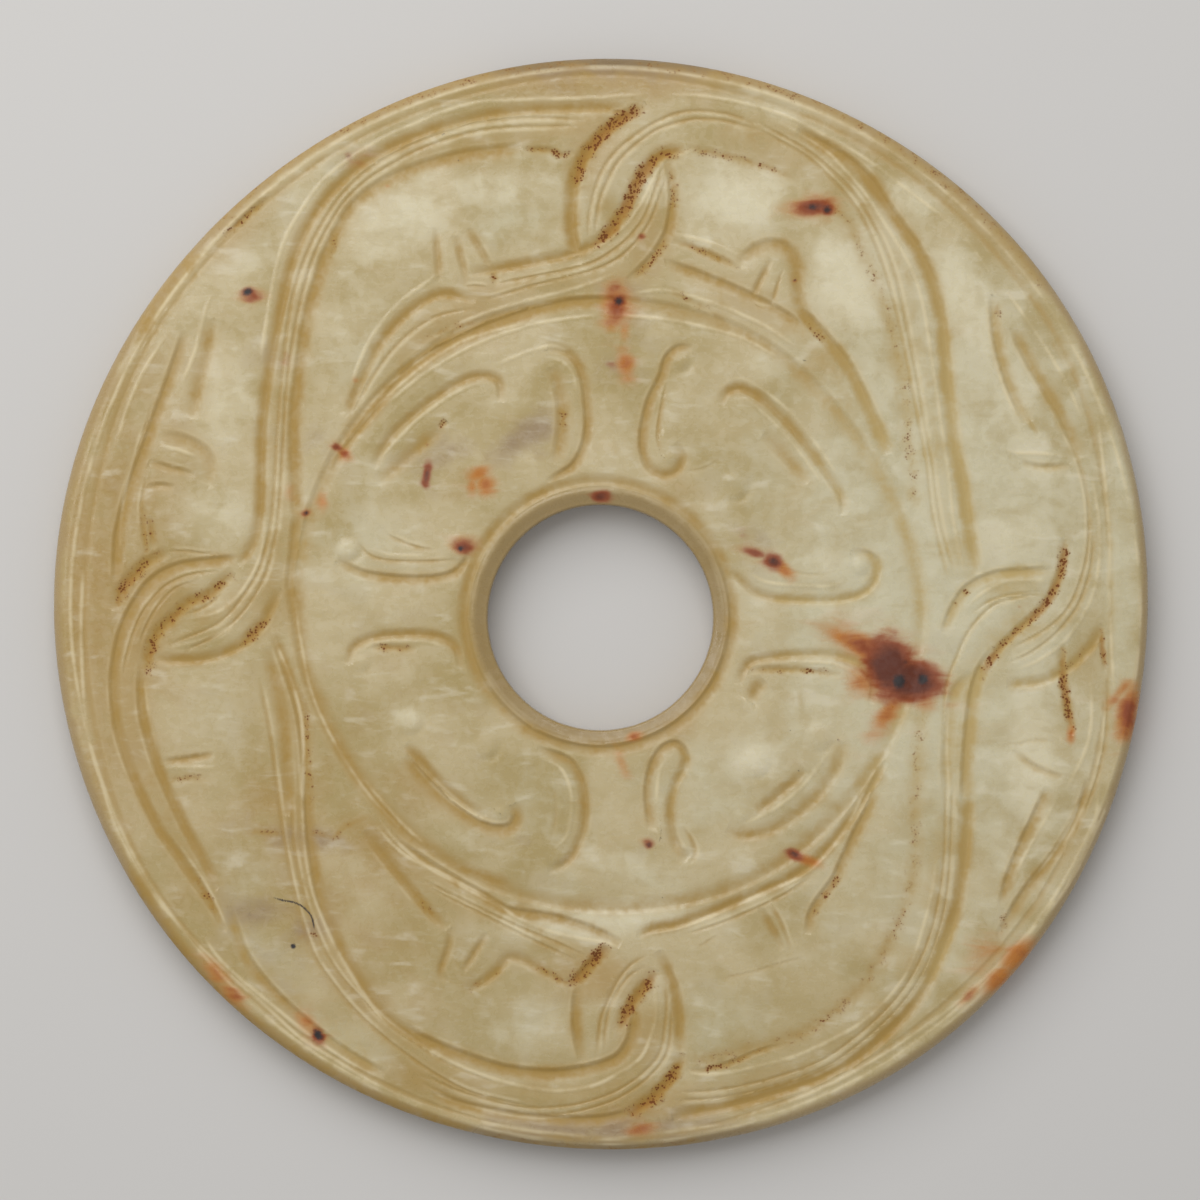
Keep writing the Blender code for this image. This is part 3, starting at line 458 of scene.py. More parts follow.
SCROLLS = (
    (SCROLL_R, (-25.4, 15), (-23.6, 18.4), (-20.4, 21.4), (-17, 23.9), (-14.6, 25.1), (-12.4, 25.2),
     (-11.3, 24.3), (-11.2, 22.2)),
    (RIDGE, (-24.6, 16), (-21, 19.8), (-18.5, 21.8), (-16, 23.4), (-14, 24.2), (-12.4, 24.2)),
    (BEVEL_R, (-25, 13.5), (-22.6, 15.6), (-20, 17.8), (-17.6, 19.8)),
    (NICK, (-18.2, 19.3), (-17.2, 20.2)),
    (RIDGE, (-12, 26.2), (-10, 27.1), (-8, 27.8), (-5.7, 28.4), (-3.8, 27.8)),
    (SCROLL_R, (-6.2, 28.2), (-4.2, 27.9), (-2.9, 26.7), (-2.1, 24.6), (-1.7, 21), (-1.8, 18.6),
     (-2.4, 16.6), (-3.4, 15.1), (-4.8, 14.2), (-6.2, 13.3)),
    (RIDGE, (-6.2, 27), (-4.6, 26.7), (-3.4, 25.4), (-2.9, 23)),
    (BEVEL_R, (-5.6, 26.2), (-4.8, 24), (-4.4, 21), (-4.6, 18), (-5.2, 15.4)),
    (NICK, (-4.4, 21.4), (-4.5, 19.4)),
    (SCROLL_L, (-29.4, 4.8), (-27.6, 3.9), (-26, 3.3), (-23, 2.9), (-20, 2.8), (-17.8, 3), (-16.3, 3.5),
     (-15.1, 4.6), (-14.7, 5.9)),
    (FINE_L, (-27, 6.8), (-25.7, 5.5), (-23.6, 4.9), (-19, 4.8), (-16, 5)),
    (RIDGE, (-25.4, 6.2), (-23.4, 5.5), (-19, 5.4)),
    (FINE_L, (-24, 7.8), (-21, 6.5), (-18.6, 6)),
    (SCROLL_R, (-28.3, -6.4), (-27.4, -4.4), (-25.6, -3.4), (-22.5, -3), (-19.6, -3), (-17.4, -3.5),
     (-16, -4.7), (-15.5, -7)),
    (RIDGE, (-27, -5.3), (-25, -4.1), (-21, -3.9), (-18, -4.3), (-16.6, -5.4)),
    (NICK, (-25.6, -4.6), (-23, -4.6), (-20.4, -4.8)),
    (EDGE_R, (-21.6, -15), (-18.9, -18.2), (-16.2, -20.8), (-13, -23)),
    (RIDGE, (-17.7, -20.4), (-15, -22.4), (-13, -23.5), (-11, -23.7), (-10, -23)),
    (DARK_L, (-22, -16.6), (-18.7, -20.3), (-15.6, -22.9), (-12.6, -24.5), (-10.2, -24.5), (-9.3, -23),
     (-9.8, -21.6)),
    (SCROLL_L, (-7.4, -15.8), (-5.4, -16.4), (-3.8, -17.2), (-2.7, -19), (-2.2, -21.4), (-2.3, -24),
     (-3.3, -26.8), (-4.6, -28.3), (-6.2, -28.9)),
    (RIDGE, (-7.2, -16.6), (-5, -17.6), (-3.9, -19.4), (-3.5, -22), (-4, -25), (-5.6, -26.8)),
    (FAINT, (-5.5, -20), (-5.3, -23), (-5.8, -25.6)),
    (SCROLL_R, (9.7, 28), (8.2, 28.1), (7, 27), (6.4, 25), (5.2, 22.6), (4.5, 20), (4.3, 17.6),
     (4.9, 15.4), (6.5, 14.4), (8, 14.9), (8.5, 16.3), (7.6, 17.7)),
    (FINE_R, (6.9, 24.5), (6.2, 21), (5.9, 18.4), (6.4, 16.4)),
    (FAINT, (8.6, 14.6), (11, 15), (13, 16.2)),
    (SCROLL_R, (12.6, 22), (13.2, 23.2), (14.2, 23.8), (15.5, 23.7), (17.6, 22.5), (20, 20.2),
     (22.5, 17.2), (24.8, 14), (26.2, 11.8), (26.2, 9.8)),
    (RIDGE, (13, 24.1), (14.2, 24.8), (15.8, 24.5), (18.2, 23), (20.8, 20.7), (23.4, 17.4),
     (25.6, 14.2)),
    (RIDGE, (14.2, 22.5), (15.5, 22.5), (17.2, 21.3), (19.8, 18.7), (22, 16), (24.1, 13)),
    (BEVEL_R, (17.6, 18.9), (19.4, 17.1), (21.3, 15.1), (22.6, 13.6)),
    (SCROLL_R, (13.3, 4.2), (15, 2.9), (16.6, 1.6), (19, 0.9), (22.5, 0.7), (26, 0.8), (28.4, 1.6),
     (29.6, 3), (29.7, 4.6), (28.7, 5.5), (27, 5.7)),
    (RIDGE, (16, 3.5), (17.6, 2.6), (20.6, 2.2), (24.5, 2.1), (26.6, 2.8)),
    (FAINT, (19, 4.2), (22, 3.4), (25, 3.4)),
    (SCROLL_R, (14.6, -8.6), (15.2, -7), (16.3, -5.9), (19, -5.4), (24, -5.2), (27.4, -5.9), (29, -7.2),
     (29.6, -9), (29.3, -10.8)),
    (RIDGE, (16.5, -6.7), (18.5, -6.3), (24, -6.2), (26.5, -6.9), (28.2, -8.2), (28.5, -9.8)),
    (NICK, (15.7, -7.2), (17.4, -7), (22, -7.1), (26, -7.6)),
    (BEVEL_L, (17.5, -8), (16.6, -9), (15.8, -10.4)),
    (BEVEL_L, (25.7, -14.8), (25.4, -17.4), (23.7, -20), (21.2, -22.5), (18, -24.4), (15.2, -24.9),
     (13.4, -24.2)),
    (RIDGE, (24.6, -16), (23.1, -18.1), (21.5, -20), (19, -22), (16.2, -23.5), (14.8, -24)),
    (EDGE_L, (22, -17.8), (20.8, -19), (18.8, -20.7), (16.4, -22.5)),
    (SCROLL_L, (5.3, -24.5), (4.9, -21.5), (5, -19), (5.7, -16.8), (6.8, -15.5), (8, -15.3),
     (8.8, -16.4), (8.6, -17.8), (7.6, -19.6), (7.1, -22), (7.2, -24.4), (7.9, -26.4), (9.2, -27.8)),
    (RIDGE, (5.7, -22), (5.9, -19.2), (6.4, -17.4), (7.4, -16.4)),
    (FINE_L, (8.5, -24.2), (9.6, -25.8), (9.9, -27.2), (9.3, -28.3)),
)

# Ochre and rust on the rim, and a painted glow along its lower right edge
RIM_STAINS_AND_GLOW = (
    (RIM_STAIN, (-44, 40), (-36, 47.4), (-24, 54.4), (-12, 58.3), (0, 59.4)),
    (RIM_STAIN, (2, 59.4), (14, 57.8), (26, 53.6), (36, 47.4), (44, 40), (49, 33.6)),
    (RIM_STAIN, (-14, -58.2), (0, -59.8), (12, -58.6)),
    (RIM_OCHRE, (-52.5, -28), (-44.5, -40), (-36, -47.6), (-25, -54.2), (-14, -58)),
    (PAINTED_RIM_GLOW, (30.1, -52.1), (42.6, -42.6), (52.1, -30.1), (56.6, -20.6)),
)
# Stained veins in the stone
VEINS = (
    (VEIN, (-39.6, -24.6), (-37, -24.9), (-34, -25.1)),
    (VEIN, (-33, -26.2), (-31.8, -24.9), (-29.6, -25.4), (-28.4, -24.2), (-25, -22.9)),
    (VEIN, (-34, -36.6), (-32.4, -36), (-30.8, -36.2)),
)
# Ochre washed over the whole width of the straps
WASHES = (
    (WASH, (2, 53.5), (-8, 52), (-18, 50), (-26.5, 45.5), (-32, 37.5), (-34.6, 28), (-35.6, 18),
     (-36, 8), (-39, 1), (-46, -3)),
    (WASH, (12, 52.6), (21, 50), (28, 44.5), (33, 34), (36, 20), (38, 8), (42, 2.6), (49, 3)),
    (WASH, (48, 0), (42, -6), (38.6, -15), (38, -27), (35, -39), (27, -48), (16, -52.6), (6, -54)),
    (WASH, (-44, 3), (-50, -1), (-52, -9), (-50, -18), (-45, -28), (-39, -38), (-30, -47), (-18, -53)),
    (WASH, (-36, -4), (-34, -16), (-33, -28), (-29, -40), (-20, -48.6), (-8, -53), (3, -51), (6, -43)),
    (WASH, (-4, 50), (0, 44), (5, 42), (3, 36), (-8, 35), (-18, 31), (-24, 25)),
    (WASH, (8, 36), (16, 33), (23, 28), (28.5, 20)),
    (WASH, (-24, -27), (-14, -33), (-4, -38), (2, -42)),
)

# Round bosses in the eyes and curls of the scrolls: centre, radius, height in mm
BOSSES = (
    (-28, 6.3, 1.5, 0.1), (-16, 6.4, 1.8, 0.09), (8.3, 26.8, 1.3, 0.09), (14.2, 13.2, 1.8, 0.09),
    (28, 4.3, 1.2, 0.08), (-21.4, -12.6, 1.7, 0.09), (-13, -15.3, 1.6, 0.09), (-11.3, -22.8, 1.2, 0.07),
    (23.5, -14.2, 1.8, 0.09), (16.4, -17, 2, 0.09), (8.6, -26.6, 1.1, 0.07), (7.3, 16.3, 1, 0.05),
    (-5, -27.4, 1.1, 0.05), (15, -23, 1, 0.05), (-26.6, -6.2, 1.2, 0.06),
)
# Thin dark cracks: width in mm, strength, knots
CRACKS = (
    (0.13, 1.1, (-36.4, -31.9), (-35, -32.3), (-33.9, -32.5), (-32.8, -33.1), (-32, -34.1),
     (-31.7, -35.6)),
    (0.13, 0.8, (-17.9, 51.4), (-17.3, 51.7)),
    (0.12, 0.8, (21.6, 26.9), (22.3, 26.7)),
)
# Iron spots in the stone: x, y, half length, half width, turn in degrees, then the strength of
# the orange halo, of the dark red and of the blue-black core
SPOTS = (
    (22.9, 43.5, 2, 1, 5, 1, 1, 0), (22.8, 43.6, 0.8, 0.6, 0, 0, 1, 0.9),
    (24.4, 43.3, 0.9, 0.8, 0, 0.9, 1, 0.9), (1.6, 33.3, 0.9, 0.8, 0, 0.3, 0.9, 1),
    (1.3, 32.5, 1.3, 1.9, 0, 1, 0.75, 0), (1.2, 34.7, 0.9, 0.9, -30, 0.5, 0.45, 0),
    (2.2, 30.3, 0.6, 1.3, 0, 0.75, 0.2, 0), (0.8, 26.2, 0.9, 0.9, 0, 0.2, 0.5, 0.3),
    (2.3, 26.4, 0.8, 1.5, 10, 0.9, 0.4, 0), (4.1, 40.4, 0.5, 0.4, 0, 0.4, 0.6, 0.5),
    (-39, 34.3, 0.9, 0.7, 20, 0.2, 0.8, 1.1), (-38.5, 33.8, 1.2, 0.9, 0, 0.7, 0.7, 0),
    (-28, 49.1, 0.6, 0.5, 0, 0.2, 0.6, 0.5), (-26.9, 48.9, 1.3, 0.7, 20, 0.3, 0.35, 0),
    (-34.8, 27.2, 0.6, 1, 0, 0.25, 0.35, 0), (-29.2, 17.3, 0.7, 0.5, -20, 0.6, 0.8, 0.4),
    (-28.4, 16.6, 0.7, 0.5, -40, 0.9, 0.7, 0), (-32.6, 10.1, 0.5, 0.4, 20, 0.6, 0.7, 0.9),
    (-30.8, 11.4, 0.5, 0.9, 0, 0.7, 0.1, 0), (-34.4, 12.5, 0.5, 0.7, 0, 0.4, 0, 0),
    (-19.4, 14.2, 0.55, 1.4, -8, 0.3, 1, 0.6), (-13.9, 14.3, 1.1, 0.7, 20, 0.9, 0.3, 0),
    (-13, 13.2, 0.9, 0.8, -40, 1, 0.4, 0), (-14.4, 13.3, 0.5, 0.9, 0, 0.8, 0.2, 0),
    (-15.4, 6.4, 1.1, 0.8, 0, 0.7, 0.9, 0), (-15.7, 6.2, 0.6, 0.5, 0, 0, 0.5, 1),
    (-0.3, 12, 1.2, 0.8, 10, 0.4, 1, 0.45), (31.2, -6.8, 2.5, 3.2, 20, 0.9, 1.45, 0),
    (33.4, -8.2, 3.3, 2.2, -10, 0.8, 1.45, 0), (29.2, -5.2, 3.2, 1.1, -35, 1.2, 0.7, 0),
    (26.4, -3.6, 2.6, 0.8, -25, 0.9, 0.2, 0), (28.4, -8.4, 1.5, 1.4, 0, 0.9, 0.4, 0),
    (31, -11.9, 2.4, 0.8, 52, 0.9, 0.35, 0), (32.3, -8.3, 1.1, 1.2, 0, 0, 0.9, 1.25),
    (34.9, -8.1, 1, 1, 0, 0, 1, 1.15), (33, -6.2, 0.5, 0.6, 0, 0, 0.8, 0.6),
    (35.2, -10.4, 1.2, 1.2, 0, 0.8, 0.5, 0), (18.6, 4.8, 1.2, 0.9, -25, 0.6, 1, 0.7),
    (19.6, 4, 1.2, 0.6, -45, 1, 0.4, 0), (16.6, 5.7, 1.4, 0.5, -15, 0.4, 0.7, 0.2),
    (15.4, 7.6, 1, 0.8, 0, 0.2, 0.45, 0.15), (4.9, -26.2, 0.7, 0.6, 0, 0.6, 0.9, 0.7),
    (20.8, -27.2, 1, 0.6, -25, 0.5, 1, 0.7), (22.2, -27.9, 1.2, 0.5, -20, 0.8, 0.2, 0),
    (57.3, -12, 1, 2.2, -12, 1.1, 0.8, 0), (56.4, -9.6, 1.6, 0.5, 50, 0.7, 0.3, 0),
    (51.1, -14, 0.4, 0.9, 0, 0.9, 0.4, 0), (-31.3, -47, 0.7, 1.1, 40, 0.6, 0.9, 1.2),
    (-32.6, -45.7, 1.4, 0.8, -45, 0.8, 0.4, 0), (-42.5, -40.2, 1.6, 0.8, -48, 0.8, 0.4, 0),
    (-40.6, -42.4, 1.5, 0.7, -45, 0.8, 0.5, 0), (-34, -37.3, 0.45, 0.42, 0, 0.1, 0.2, 1.4),
    (-38.8, -33.8, 0.8, 0.7, 0, 0, 0, 0.5), (45, -38.6, 1.7, 0.9, 45, 1.1, 0.3, 0),
    (43.4, -40.6, 1.6, 0.8, 45, 1, 0.2, 0), (41.4, -38, 2, 1.4, 30, 0.6, 0, 0),
    (40, -42.6, 1.1, 0.4, 40, 0.7, 0.5, 0.2), (3.3, -14.3, 0.7, 0.45, 10, 0.9, 0.5, 0),
    (2, -17.4, 0.5, 1.3, 25, 0.6, 0.1, 0), (3.9, -57.2, 1.6, 1, 0, 0.6, 0.4, 0),
    (-19.4, 17.6, 0.3, 0.3, 0, 0.2, 0.4, 0.6), (-16, 48.7, 0.16, 0.16, 0, 0, 0.3, 1),
    (20.9, 35.6, 0.3, 0.2, 20, 0.2, 0.5, 0.9), (21.3, -18.1, 0.18, 0.18, 0, 0, 0.3, 1),
    (25.6, -14.7, 0.2, 0.2, 0, 0, 0.3, 1), (20.4, -13.7, 0.15, 0.15, 0, 0, 0.3, 1),
    (6.4, -32, 0.15, 0.15, 0, 0, 0.3, 1), (-27.2, 24.6, 0.3, 0.3, 0, 0.7, 0.3, 0),
    (-23.7, 45.9, 0.3, 0.2, 0, 0.6, 0.3, 0), (45.4, -0.2, 0.2, 0.2, 0, 0.3, 0.3, 0.5),
)
# Soft patches of tone inside the stone: x, y, half length, half width, turn in degrees, strength.
# The pale patches at (-28, 6.3), (-21.4, -12.4), (22.5, -12.5) and (16.4, -16.4) are painted
# highlights on the bosses' tops
PALE_AND_BOSS_HIGHLIGHTS = (
    (38, 22, 16, 26, 20, 0.32), (30, 40, 16, 9, -40, 0.3), (46, -8, 7, 22, 0, 0.3),
    (-22, 42, 8, 3.5, 38, 0.8), (-11, 46, 8, 2.6, 6, 0.7), (-27, 33, 8, 3, 70, 0.5),
    (15, 44.4, 5.5, 4, 0, 1), (12, 40.5, 4, 2.5, -20, 0.6), (26, 35.5, 6.5, 3.5, -60, 1),
    (33.5, 44.6, 4, 2, -40, 0.6), (40, 33, 9, 3, -65, 0.8), (45.5, 20, 12, 4.5, -70, 0.5),
    (44.5, 8, 5, 4.5, 0, 0.65), (46.8, -17, 8, 3.2, 95, 1), (44.5, -27, 7, 3, 70, 0.6),
    (24, 5, 3.2, 2, 0, 0.5), (22.5, -12.5, 3, 2.2, 30, 0.45), (16.4, -16.4, 3, 2, 10, 0.8),
    (2, -28, 5, 2.5, 0, 0.4), (-1, -34.6, 13, 2.2, 4, 0.9), (-21.4, -12.4, 1.8, 1.4, 0, 0.9),
    (-16, -25.4, 2.6, 1.4, -30, 0.5), (-42, 10, 5, 4, 0, 0.6), (-41, 22, 6, 3, 80, 0.6),
    (-41, -17, 7, 3, 85, 0.3), (-24, 14, 4, 3.5, 0, 0.45), (-28, 6.3, 1.3, 1, 0, 0.8),
    (-38.5, 37, 4, 3, 50, 0.45), (-13, -47, 6, 3, 0, 0.25), (-10, 22, 3, 2.5, 0, 0.35),
    (15, 27, 6, 3, -20, 0.3), (37, -33, 9, 2, 75, 0.4), (8, 3, 2, 2, 0, 0.2),
)
TAN = (
    (-34, -30, 26, 20, -45, 0.52), (-54, 0, 10, 46, 0, 0.75), (-55, 2, 2.6, 26, 0, 0.9),
    (0, 58.2, 22, 3.6, 0, 1), (40, 44, 16, 2.4, -47, 0.9), (-57.3, 4, 2.4, 22, 0, 0.95),
    (26, 53, 12, 2, -28, 0.5), (-24, 54.6, 12, 2, 24, 0.5), (-50, 0, 9, 5, 80, 1),
    (-57, 0, 22, 2.6, 90, 0.7), (-36, 0, 6, 4, 80, 0.6), (-35, -24, 9, 5, -60, 0.8),
    (-25, -26, 7, 4, -40, 0.9), (-33.5, -12, 7, 3, -80, 0.6), (-27, -41.5, 9, 3, -50, 0.6),
    (-20, -52, 9, 3, -20, 0.7), (-1, -40.5, 6, 3.5, 0, 0.8), (4, -46, 5, 4, 90, 0.6),
    (3, -55, 7, 3, 10, 0.9), (-15, 31, 9, 4, 25, 0.6), (-1, 50, 6, 4, 70, 0.7), (5, 40, 6, 4, 60, 0.6),
    (17, 33, 7, 3, -25, 0.5), (19, 48.5, 8, 2, -15, 0.5), (30, 50.5, 11, 2.6, -35, 0.65),
    (42, 41, 6, 2.6, -47, 0.75), (47, 37, 2.5, 1.8, -50, 0.8), (-40, 41.5, 8, 2.6, 47, 0.6),
    (-51, 14, 7, 3, 85, 0.6), (-21, -20, 6, 3.5, -45, 0.6), (-22, -5, 4, 2.5, 0, 0.4),
    (18, -6.5, 5, 2.5, 0, 0.5), (46, -2, 7, 3, 50, 0.5), (53, -6, 5, 2.5, 80, 0.6),
    (58, -13, 5, 1.6, 82, 0.8), (8, 13, 4, 2, -30, 0.5), (8, -13.5, 4, 2, 30, 0.7),
    (3, -15.5, 4, 1.6, 0, 0.6), (-46, -31, 6, 2.5, -55, 0.5), (-55, -20, 8, 2.6, -70, 0.7),
    (-43, -41, 7, 3, -47, 0.7), (-10, 58, 8, 1.8, 8, 0.6), (-22, 55.5, 8, 1.6, 22, 0.5),
    (-33, 39, 8, 2, 60, 0.4), (-10, 50.5, 10, 1.3, 5, 0.4), (-48, 31, 7, 2, 60, 0.4),
    (52, -26, 5, 2, 65, 0.5), (43, -40, 4, 2.5, 45, 0.7), (20, -48, 8, 1.5, 20, 0.4),
    (-15, 14, 4, 3, 0, 0.5),
)
COOL = (
    (37, 4, 22, 42, 0, 0.86), (12, -20, 8, 6, 0, 0.6), (-37, -38, 9, 3.2, -45, 0.6),
    (-28, -47.5, 8, 2.2, -36, 0.7), (37, -38, 9, 3, 58, 0.6), (-39, -31, 5, 3.4, 60, 0.5),
    (2, 45, 30, 8, 0, 0.35), (56.5, 6, 3, 26, 0, 0.8), (24, 0, 9, 14, 0, 0.72), (44, 20, 8, 16, 0, 0.6),
    (28, 14, 12, 8, -40, 0.55), (47, 14, 15, 5, 90, 0.5), (-43, -13, 6, 6, 0, 0.3),
    (-26, 6, 6, 6, 0, 0.5), (-8, -22, 10, 6, 0, 0.35), (3, -30, 11, 4, 0, 0.45),
    (30, -29, 9, 5, 60, 0.45), (12, -46, 7, 5, 0, 0.45), (-9, -46, 6, 4, 0, 0.4),
    (-10, 42.5, 8, 3, 12, 0.6), (-33, 6, 6, 2, 85, 0.5), (44, -10, 6, 4, 80, 0.4),
    (11, 45, 5, 6, 90, 0.3), (-26, 27, 7, 3, 60, 0.4), (45, -33, 8, 3, 60, 0.4),
    (-40, -28, 5, 5, 0, 0.35), (18, 55, 10, 2, -15, 0.35), (-32, 46, 7, 2, 45, 0.4),
)
MURKY = (
    (0, -57.6, 18, 2.6, 0, 0.8), (-2, 59.4, 24, 1.8, 0, 0.9), (-8.5, 18.6, 4.2, 2.4, 30, 0.9),
    (-7, 16.4, 1.4, 1, 20, 0.6), (-34, 18, 6, 3, 0, 0.4), (1.2, 27, 2.6, 3.4, 0, 0.5),
    (1.6, 34, 3, 3, 0, 0.6), (-36, 27, 2.8, 2.2, 0, 0.35), (16, 6.4, 3.2, 2.4, -20, 0.55),
    (-8.5, -26, 1.2, 1, 0, 0.5), (-38, -33.6, 3.4, 2.2, 0, 0.9), (-35.5, -39, 8, 2.6, -45, 0.35),
    (-33, -35.6, 3, 1.5, 20, 0.7), (4.6, -26, 2.2, 1.6, 0, 0.35), (-17.5, 16.5, 5, 2.6, 15, 0.5),
    (-33, -25.4, 6, 1.6, -6, 0.7), (37, -5, 3, 3, 0, 0.25), (-27, 49, 3, 1.6, 20, 0.3),
)


def curve_through(knots, closed=False, step=0.35):
    """Points about one step apart on the Catmull-Rom curve through the knots."""
    knots = np.array(knots, float)
    if closed:
        knots = np.vstack([knots[-1:], knots, knots[:2]])
    else:
        knots = np.vstack([2 * knots[:1] - knots[1:2], knots, 2 * knots[-1:] - knots[-2:-1]])
    points = []
    for before, start, end, after in zip(knots, knots[1:], knots[2:], knots[3:]):
        count = max(2, int(np.hypot(*(end - start)) / step))
        t = (np.arange(count) / count)[:, None]
        points.append(0.5 * (2 * start + (end - before) * t
                             + (2 * before - 5 * start + 4 * end - after) * t ** 2
                             + (3 * start - before - 3 * end + after) * t ** 3))
    points.append(knots[-2:-1])
    return np.vstack(points)


def open_cuts(lines):
    """Each line's cut with its path; False because the path has two ends."""
    return [(cut, curve_through(knots), False) for cut, *knots in lines]


def closed_cuts(lines):
    """Each closed line's cut with its path; True because the path has no ends."""
    cuts = []
    for cut, radii, centre in lines:
        radii = np.array(radii)
        angles = 2 * np.pi * np.arange(len(radii)) / len(radii)
        knots = np.column_stack([radii * np.cos(angles), radii * np.sin(angles)]) + centre
        cuts.append((cut, curve_through(knots, closed=True), True))
    return cuts


FACE_CUTS = open_cuts(TOP_LEFT_STRAP + TOP_RIGHT_STRAP + TOP_KNOT + LEFT_SIDE + LEFT_KNOT + LEFT_RING
                      + BOTTOM_LEFT + BOTTOM_KNOT + RIGHT_KNOT + RIGHT_SIDE + SCROLLS + RIM_STAINS_AND_GLOW
                      + VEINS + WASHES) + closed_cuts(CLOSED_LINES)
BACK_CUTS = closed_cuts(BACK_RINGS)


def inside(points, low, high):
    """Places in the array of the points inside a box."""
    return np.flatnonzero(((points > low) & (points < high)).all(axis=1))


def beside(path, points, reach, run=12):
    """Signed distance (left is positive) and place along the path, for the points in reach.

    Returns the indices of those points, their distances, how far along they lie in mm, and the
    path's whole length. The path is taken a run of segments at a time.
    """
    steps = path[1:] - path[:-1]
    lengths = np.hypot(steps[:, 0], steps[:, 1])
    along = steps / lengths[:, None]
    travelled = np.concatenate([[0.0], np.cumsum(lengths)])
    near = inside(points, path.min(axis=0) - reach, path.max(axis=0) + reach)
    spots = points[near]
    distance = np.full(len(near), np.inf)
    place = np.zeros(len(near))
    for first in range(0, len(steps), run):
        ends = path[first:first + run + 1]
        close = inside(spots, ends.min(axis=0) - reach, ends.max(axis=0) + reach)
        if not len(close):
            continue
        offset = spots[close][:, None, :] - ends[None, :-1, :]
        ahead = along[first:first + run]
        t = np.clip((offset * ahead).sum(axis=2), 0, lengths[first:first + run])
        gap = offset - t[..., None] * ahead
        apart = np.hypot(gap[..., 0], gap[..., 1])
        best = apart.argmin(axis=1)
        pick = (np.arange(len(close)), best)
        side = ahead[best, 0] * offset[pick][:, 1] - ahead[best, 1] * offset[pick][:, 0]
        signed = np.where(side < 0, -apart[pick], apart[pick])
        nearer = np.abs(signed) < np.abs(distance[close])
        distance[close[nearer]] = signed[nearer]
        place[close[nearer]] = (travelled[first + best] + t[pick])[nearer]
    found = np.abs(distance) < reach
    return near[found], distance[found], place[found], travelled[-1]


def smooth(value):
    """Smoothstep of a value clipped to 0 to 1."""
    value = np.clip(value, 0, 1)
    return value * value * (3 - 2 * value)


def bell(distance, width):
    """Gaussian bump: 1 at no distance, 1/e at the width."""
    return np.exp(-(distance / width) ** 2)


def raise_to(level, found, values):
    """Lift an array to the values at the found places, where they are higher."""
    level[found] = np.maximum(level[found], values)


def run_out(place, length, closed, fade=FADE):
    """Strength of a cut along its path: it fades to nothing at two open ends."""
    if closed:
        return np.ones_like(place)
    fade = min(fade, length / 3)
    return np.sqrt(np.clip(np.minimum(place, length - place) / fade, 0, 1))


def carved_depth(points, cuts):
    """How far the relief lies below the polished face at each point.

    Depth is the deepest groove there, plus the deepest of the soft hollows beside the grooves,
    less the tallest ridge. A groove's section is a smoothstep up to each shoulder from its
    deepest line, which leans to one side.
    """
    groove, hollow, ridge = np.zeros((3, len(points)))
    for cut, path, closed in cuts:
        if not cut.depth:
            continue
        found, distance, place, length = beside(path, points, max(cut.width, cut.hollow))
        strength = run_out(place, length, closed)
        deepest = cut.lean * cut.width / 2
        wall = np.where(distance > deepest, cut.width / 2 - deepest, cut.width / 2 + deepest)
        level = smooth(1 - np.abs(distance - deepest) / wall) * strength
        raise_to(groove, found, cut.depth * level)
        raise_to(ridge, found, -cut.depth * level)
        if cut.hollow:
            raise_to(hollow, found, cut.sink * smooth(1 - np.abs(distance) / cut.hollow) * strength)
    return groove + hollow - ridge


def bosses(points):
    """Height of the round bosses, each a low dome with a cut round the lower right of its foot."""
    height = np.zeros(len(points))
    for x, y, radius, rise in BOSSES:
        away = np.hypot(points[:, 0] - x, points[:, 1] - y)
        lower_right = (points[:, 0] - x - points[:, 1] + y) / (1.5 * away + 0.1)
        height += 1.5 * rise * smooth((radius - away) / radius)
        height -= rise * bell(away - radius, BOSS_FOOT) * np.clip(lower_right, 0, 1)
    return height


def polish_waves(points):
    """Soft waves of hand polishing: a sum of cosines in fixed random directions, 0 to 1."""
    chance = np.random.default_rng(POLISH_SEED)
    total = np.zeros(len(points))
    for wavelength in POLISH_WAVES:
        turn, phase = chance.uniform(0, 2 * np.pi, 2)
        total += np.cos((points @ (np.cos(turn), np.sin(turn))) * 2 * np.pi / wavelength + phase)
    return np.clip(0.5 + total / (1.1 * len(POLISH_WAVES)), 0, 1)


def stains_and_highlights(points, cuts):
    """Ochre, rust and the painted highlight lines of worn shoulders that go with the cuts,
    each from 0 up.

    Each falls off as a Gaussian: ochre from half way to the deepest line, rust from that line
    and narrower, and the painted highlight from just outside the shoulder that the cut leans to.
    """
    ochre, rust, worn = np.zeros((3, len(points)))
    for cut, path, closed in cuts:
        found, distance, place, length = beside(path, points, 1.5 * cut.width + 0.8)
        strength = run_out(place, length, closed)
        deepest = cut.lean * cut.width / 2
        soak = SOAK_SHARE * cut.width + SOAK_EDGE
        shoulder = 0.0 if cut.depth < 0 else math.copysign(cut.width / 2 + 0.1, cut.lean)
        for level, amount, middle, width in ((ochre, cut.ochre, 0.5 * deepest, soak),
                                             (rust, cut.rust, deepest, 0.8 * soak),
                                             (worn, cut.worn, shoulder, HIGHLIGHT_WIDTH)):
            raise_to(level, found, amount * (bell(distance - middle, width) * strength))
    return ochre, rust, worn


def ellipse(points, x, y, long, wide, turn):
    """Squared distance from a turned ellipse's centre, 1 on its outline."""
    turn = math.radians(turn)
    offset = points - (x, y)
    u = (offset[:, 0] * math.cos(turn) + offset[:, 1] * math.sin(turn)) / long
    v = (offset[:, 1] * math.cos(turn) - offset[:, 0] * math.sin(turn)) / wide
    return u * u + v * v


